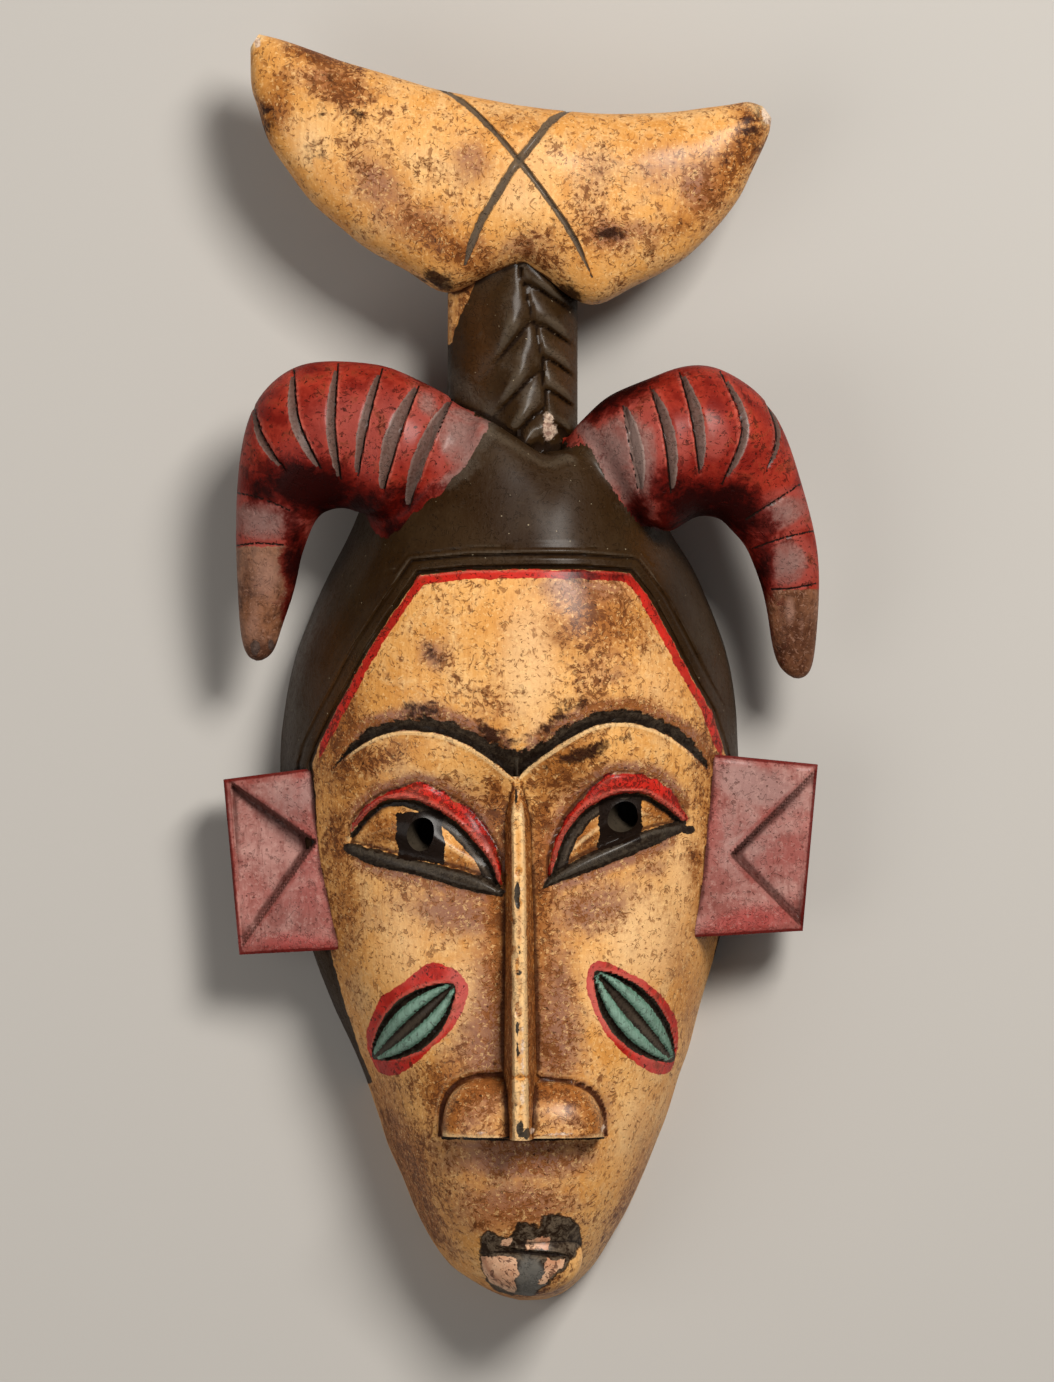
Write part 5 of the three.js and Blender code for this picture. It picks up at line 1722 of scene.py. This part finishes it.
def hair_black(p, m):
    """Brownish black of the hair and the neck. It is greyed by a film that also stands in for sheen
    on the braid's lobes and the hair band. It has painted shade in hollows, painted highlights
    along raised edges, and a few pale flecks.
    """
    flecks = p.noise(1.0, 0, 0.5, 0, p.shifted(0.7, 0.9, 0.1)).above(0.85, 0.87)
    return p.coats(
        p.blend(m.broad.above(0.38, 0.62), *HAIR_BLACK),
        ((m.amber + m.mottle * 0.5).above(0.2, 0.9) * 0.55, (0.062, 0.022, 0.004)),
        ((m.dust + m.mottle * 0.7 + (m.dusty - 0.5) * 0.8).above(0.35, 1.3) * 0.75,
         (0.088, 0.068, 0.050)),
        (m.dusty.above(0.5, 0.75) * 0.3, (0.050, 0.028, 0.012)),
        (m.ridge * 0.4, (0.12, 0.094, 0.066)),
        (m.deep * 0.9, (0.009, 0.0035, 0.001)),
        (flecks * 0.6, (0.42, 0.34, 0.22)),
    )


def groove_wood(p, m):
    """Grey wood laid bare by the cuts across the horns. Each cut has a painted highlight on its
    lip, paler where worn, and painted shade toward its bottom.
    """
    lip_highlight = m.facet.below(0.35, 1.3) * m.crease.below(-1.7, -0.9)
    return p.coats(
        p.blend(m.fine.above(0.35, 0.65), *GREY_WOOD),
        ((m.worn + m.mottle * 0.3).above(0.55, 1.1) * 0.75, (0.225, 0.155, 0.135)),
        (lip_highlight * (m.worn.above(0.3, 0.9) * 0.45 + 0.2), (0.46, 0.32, 0.28)),
        (m.crease.above(-1.5, -0.1) * 0.6, (0.062, 0.038, 0.030)),
    )


def faded_red(p, m):
    """Red paint of the horns rubbed down to a dusty pink."""
    dusty_pink = p.blend(m.fine.above(0.3, 0.7), *DUSTY_PINK)
    return p.coats(
        p.blend(m.patchy.above(0.38, 0.58) * 0.6 + 0.4, (0.21, 0.052, 0.040), dusty_pink),
        ((m.worn + m.mottle * 0.5).above(0.9, 1.5) * 0.6, (0.215, 0.140, 0.124)),
    )


def horn_tip_wood(p, m):
    """Dark unpainted wood of the horn tips, with painted highlights where light falls on them."""
    return p.coats(
        p.blend((m.streaks * 0.5 + m.clumps).above(0.55, 0.9), *TIP_WOOD),
        (m.patchy.above(0.54, 0.66) * 0.7, (0.030, 0.009, 0.004)),
        ((m.broad + m.fine * 0.2).above(0.55, 0.7) * 0.4, (0.32, 0.17, 0.115)),
        ((m.amber + m.mottle * 0.7).above(0.2, 0.9) * 0.75, (0.062, 0.021, 0.010)),
        ((m.bright + m.mottle * 0.5).above(0.3, 1.0) * 0.7, (0.33, 0.175, 0.125)),
        (m.lights * 0.5, (0.34, 0.18, 0.12)),
    )


def horn_red(p, m):
    """Deep red on the horns, bright red on the face, sooty where hands and smoke were, with painted
    shade in hollows and painted highlights along raised edges.
    """
    return p.coats(
        p.blend((m.patchy + m.clumps * 0.3).above(0.5, 0.85), *HORN_RED),
        ((m.worn + m.mottle * 0.15).above(0.1, 0.42) * m.horn * 0.75, (0.31, 0.058, 0.043)),
        (m.horn.below(0.2, 0.8) * (m.patchy.above(0.42, 0.58) * 0.4 + 0.4), (0.60, 0.016, 0.009)),
        ((m.bright + m.mottle * 0.3).above(0.2, 0.7) * m.horn.below(0.2, 0.8) * 0.65,
         (0.55, 0.125, 0.105)),
        ((m.patchy * m.clumps).above(0.27, 0.36) * 0.5, (0.12, 0.036, 0.010)),
        ((m.lines * 0.8).most(m.specks) * 0.8, (0.030, 0.004, 0.002)),
        (m.ridge * 0.55, (0.56, 0.13, 0.090)),
        ((m.worn + m.mottle * 0.25).above(0.56, 0.95) * m.horn * 0.92, faded_red(p, m)),
        ((m.tip + m.edge * 1.4).above(-0.3, 0.3), horn_tip_wood(p, m)),
        ((m.soot + m.mottle * 0.9).above(0.1, 0.6) * 0.92, (0.10, 0.004, 0.002)),
        ((m.soot + m.mottle * 0.9).above(0.4, 0.95) * 0.96, (0.014, 0.0008, 0.0004)),
        (m.deep * 0.8, (0.018, 0.0015, 0.001)),
    )


def line_black(p, m):
    """Black of the brows, the eyes, the leaves and the chips of the nose, and of the painted shadow
    under each lid. It is greyed in places, with painted shade in hollows and painted highlights
    along raised edges.
    """
    return p.coats(
        p.blend(m.dusty.above(0.4, 0.7), *LINE_BLACK),
        ((m.dust + (m.dusty - 0.5) * 0.8).above(0.2, 0.9) * 0.75, (0.100, 0.073, 0.051)),
        (m.ridge * 0.4, (0.10, 0.082, 0.062)),
        (m.deep * 0.6, (0.006, 0.003, 0.002)),
    )


def leaf_green(p, m):
    """Grey green of the strips in the cheek leaves, with painted highlights along their raised
    edges.
    """
    return p.coats(
        p.blend((m.streaks + m.clumps * 0.5).above(0.55, 0.95), *SAGE),
        (m.specks.most(m.lines * 0.6), (0.015, 0.010, 0.006)),
        (m.ridge * 0.4, (0.30, 0.44, 0.36)),
    )


def mouth_paint(p, m):
    """Dark filler where the paint of the mouth is lost, and the pink that is left on the lips, with
    painted shade in the hollows.
    """
    filler = p.coats(
        p.blend((m.dusty * 0.5 + m.clumps * 0.5).above(0.44, 0.58), *FILLER),
        ((m.dust + m.mottle * 0.5).above(0.3, 0.8) * 0.85, (0.130, 0.122, 0.108)),
    )
    pink = p.coats(
        p.blend(m.patchy.above(0.4, 0.6), *LIP_PINK),
        (m.lines * 0.8, (0.10, 0.035, 0.02)),
    )
    return p.coats(
        filler,
        ((m.flesh + m.edge * 1.5).above(-0.15, 0.15), pink),
        (m.deep * 0.9, (0.008, 0.004, 0.003)),
    )


def ear_pink(p, m):
    """Dull pink of the ears, reddened at the rims, with painted shade in the hollows and a dark
    line of painted shade along the folds.
    """
    return p.coats(
        p.blend((m.patchy + m.clumps * 0.3).above(0.5, 0.85), *EAR_PINK),
        (m.broad.above(0.45, 0.6) * 0.3, (0.42, 0.10, 0.088)),
        (m.streaks.above(0.5, 0.7) * 0.45, (0.15, 0.040, 0.030)),
        ((m.worn + m.mottle * 0.5).above(0.3, 0.9) * 0.75, (0.34, 0.20, 0.18)),
        ((m.amber + m.mottle * 0.5).above(0.3, 0.9) * 0.7, (0.34, 0.034, 0.030)),
        (m.lights * 0.3, (0.52, 0.30, 0.26)),
        (m.specks.most(m.lines * 0.35) * 0.5, (0.07, 0.015, 0.010)),
        (m.ridge * 0.35, (0.24, 0.022, 0.016)),
        (m.deep * 0.75, (0.045, 0.010, 0.007)),
        ((m.crease + m.ragged * 0.5).above(-0.3, 0.3) * 0.8, (0.050, 0.013, 0.009)),
        ((m.red + m.edge * 0.5).above(-0.3, 0.3) * 0.9, (0.11, 0.006, 0.004)),
    )


def bare_wood(p, m):
    """Unpainted wood of the hollow back."""
    return p.coats(
        p.blend(m.streaks.above(0.35, 0.65), *RAW_WOOD),
        (m.patchy.above(0.5, 0.8) * 0.5, (0.07, 0.032, 0.016)),
    )


def painted_wood():
    """Old oil paint over carved wood: ochre, red, pink, green and black under worn varnish."""
    p = Paint("painted_wood")
    m = weathering(p)
    rubbed = p.blend((m.fine * 0.5 + m.clumps * 0.5).above(0.4, 0.58), *RUBBED_WOOD_AND_HIGHLIGHT)
    colour = p.coats(
        hair_black(p, m),
        ((m.ochre + m.edge * 0.7).above(-0.12, 0.12), ochre_paint(p, m)),
        ((m.red + m.edge * 0.9).above(-0.12, 0.12), horn_red(p, m)),
        ((m.facet + m.edge * 0.7).above(0.1, 0.4) * 0.92,
         p.blend(m.horn, CREST_CUT_SHADE, groove_wood(p, m))),
        ((m.crease + m.ragged * 0.4).above(-0.05, 0.2), CREASE_SHADE),
        ((m.ink + m.edge * 0.8).above(-0.1, 0.12), line_black(p, m)),
        ((m.iris + m.edge * 1.6).above(-0.1, 0.12), IRIS_BLACK),
        ((m.green + m.ragged * 1.3).above(-0.1, 0.15), leaf_green(p, m)),
        (m.loss.above(-0.7, -0.3) * m.loss.below(0.1, 0.4) * 0.85, LOSS_EDGE_SHADE),
        (m.loss.above(0.0, 0.2), mouth_paint(p, m)),
        (m.ear, ear_pink(p, m)),
        # Wood rubbed bare, and the painted highlight down the crown of the nose.
        ((m.pale + m.mottle * 0.9).above(0.45, 0.7) * 0.85, rubbed),
        (m.bare, bare_wood(p, m)),
        (m.hole, PUPIL_WALL_SHADE),
    )
    roughness = (0.42 + m.patchy * 0.2 + m.deep * 0.25 + m.bare * 0.3 + m.lines * 0.15
                 - m.ridge * 0.1)
    height = (m.fine * 0.3 + m.clumps * 0.6 + m.streaks * 0.25 - m.lines * 0.5 - m.specks * 0.7
              - m.loss.above(-0.1, 0.15) * 1.2 + m.dusty * 0.4)
    varnish = (0.2 - (m.ochre + m.edge * 0.7).below(-0.12, 0.12) * 0.07
               - m.soot.above(0.2, 0.8) * 0.1)
    p.feed(p.shader.inputs["Coat Weight"], varnish)
    p.shader.inputs["Coat Roughness"].default_value = VARNISH_ROUGHNESS
    p.shader.inputs["Specular IOR Level"].default_value = PAINT_SHINE
    return p.finish(colour, roughness.least(1.0), height, PAINT_GRAIN_DEPTH)


HORN_MELT_REACH = 9.0
HORN_MELT_ROUNDS = 50
SHARP_EDGE = math.radians(48)

mask = carve_block()
mask.name = "mask_carving"
melt(mask, HORN_PART, HEAD_PART, HORN_MELT_REACH, HORN_MELT_ROUNDS)
carve_grooves(mask)
sweep_crumbs(mask)
mask.data.set_sharp_from_angle(angle=SHARP_EDGE)
mask.data.polygons.foreach_set("use_smooth", [True] * len(mask.data.polygons))
write_zones(mask)
mask.data.materials.clear()
mask.data.materials.append(painted_wood())
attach(mask, "root")
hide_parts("mask")

# Floor and light


FLOOR_SIZE = 8
FLOOR_COLOUR = (0.46, 0.44, 0.415, 1)
WARM_WHITE = (1, 0.97, 0.93)
ROOM_LIGHT = 0.14
LIT_PLACE = (0, 0, 0.04)


def lay_floor():
    """The plain pale floor under the mask."""
    bpy.ops.mesh.primitive_plane_add(size=FLOOR_SIZE)
    floor = bpy.context.object
    floor.name = "floor"
    pale = bpy.data.materials.new("floor")
    pale.use_nodes = True
    shader = pale.node_tree.nodes["Principled BSDF"]
    shader.inputs["Base Color"].default_value = FLOOR_COLOUR
    shader.inputs["Roughness"].default_value = 0.85
    floor.data.materials.append(pale)


def hang_light(name, place, size, power, tint):
    """A square soft light that faces the mask."""
    lamp = bpy.data.lights.new(name, "AREA")
    lamp.size = size
    lamp.energy = power
    lamp.color = tint
    obj = bpy.data.objects.new(name, lamp)
    obj.location = place
    obj.rotation_euler = (Vector(LIT_PLACE) - Vector(place)).to_track_quat("-Z", "Y").to_euler()
    bpy.context.collection.objects.link(obj)


def light_room():
    """A weak even light from all round."""
    world = bpy.data.worlds.new("studio")
    world.use_nodes = True
    background = world.node_tree.nodes["Background"].inputs
    background["Color"].default_value = (*WARM_WHITE, 1)
    background["Strength"].default_value = ROOM_LIGHT
    bpy.context.scene.world = world


lay_floor()
bpy.context.scene.view_settings.view_transform = "Standard"
hang_light("key", (0.65, 0.85, 1.6), 0.6, 43, (1, 0.965, 0.91))
hang_light("fill", (-1.1, -0.4, 1.3), 1.2, 8, WARM_WHITE)
light_room()
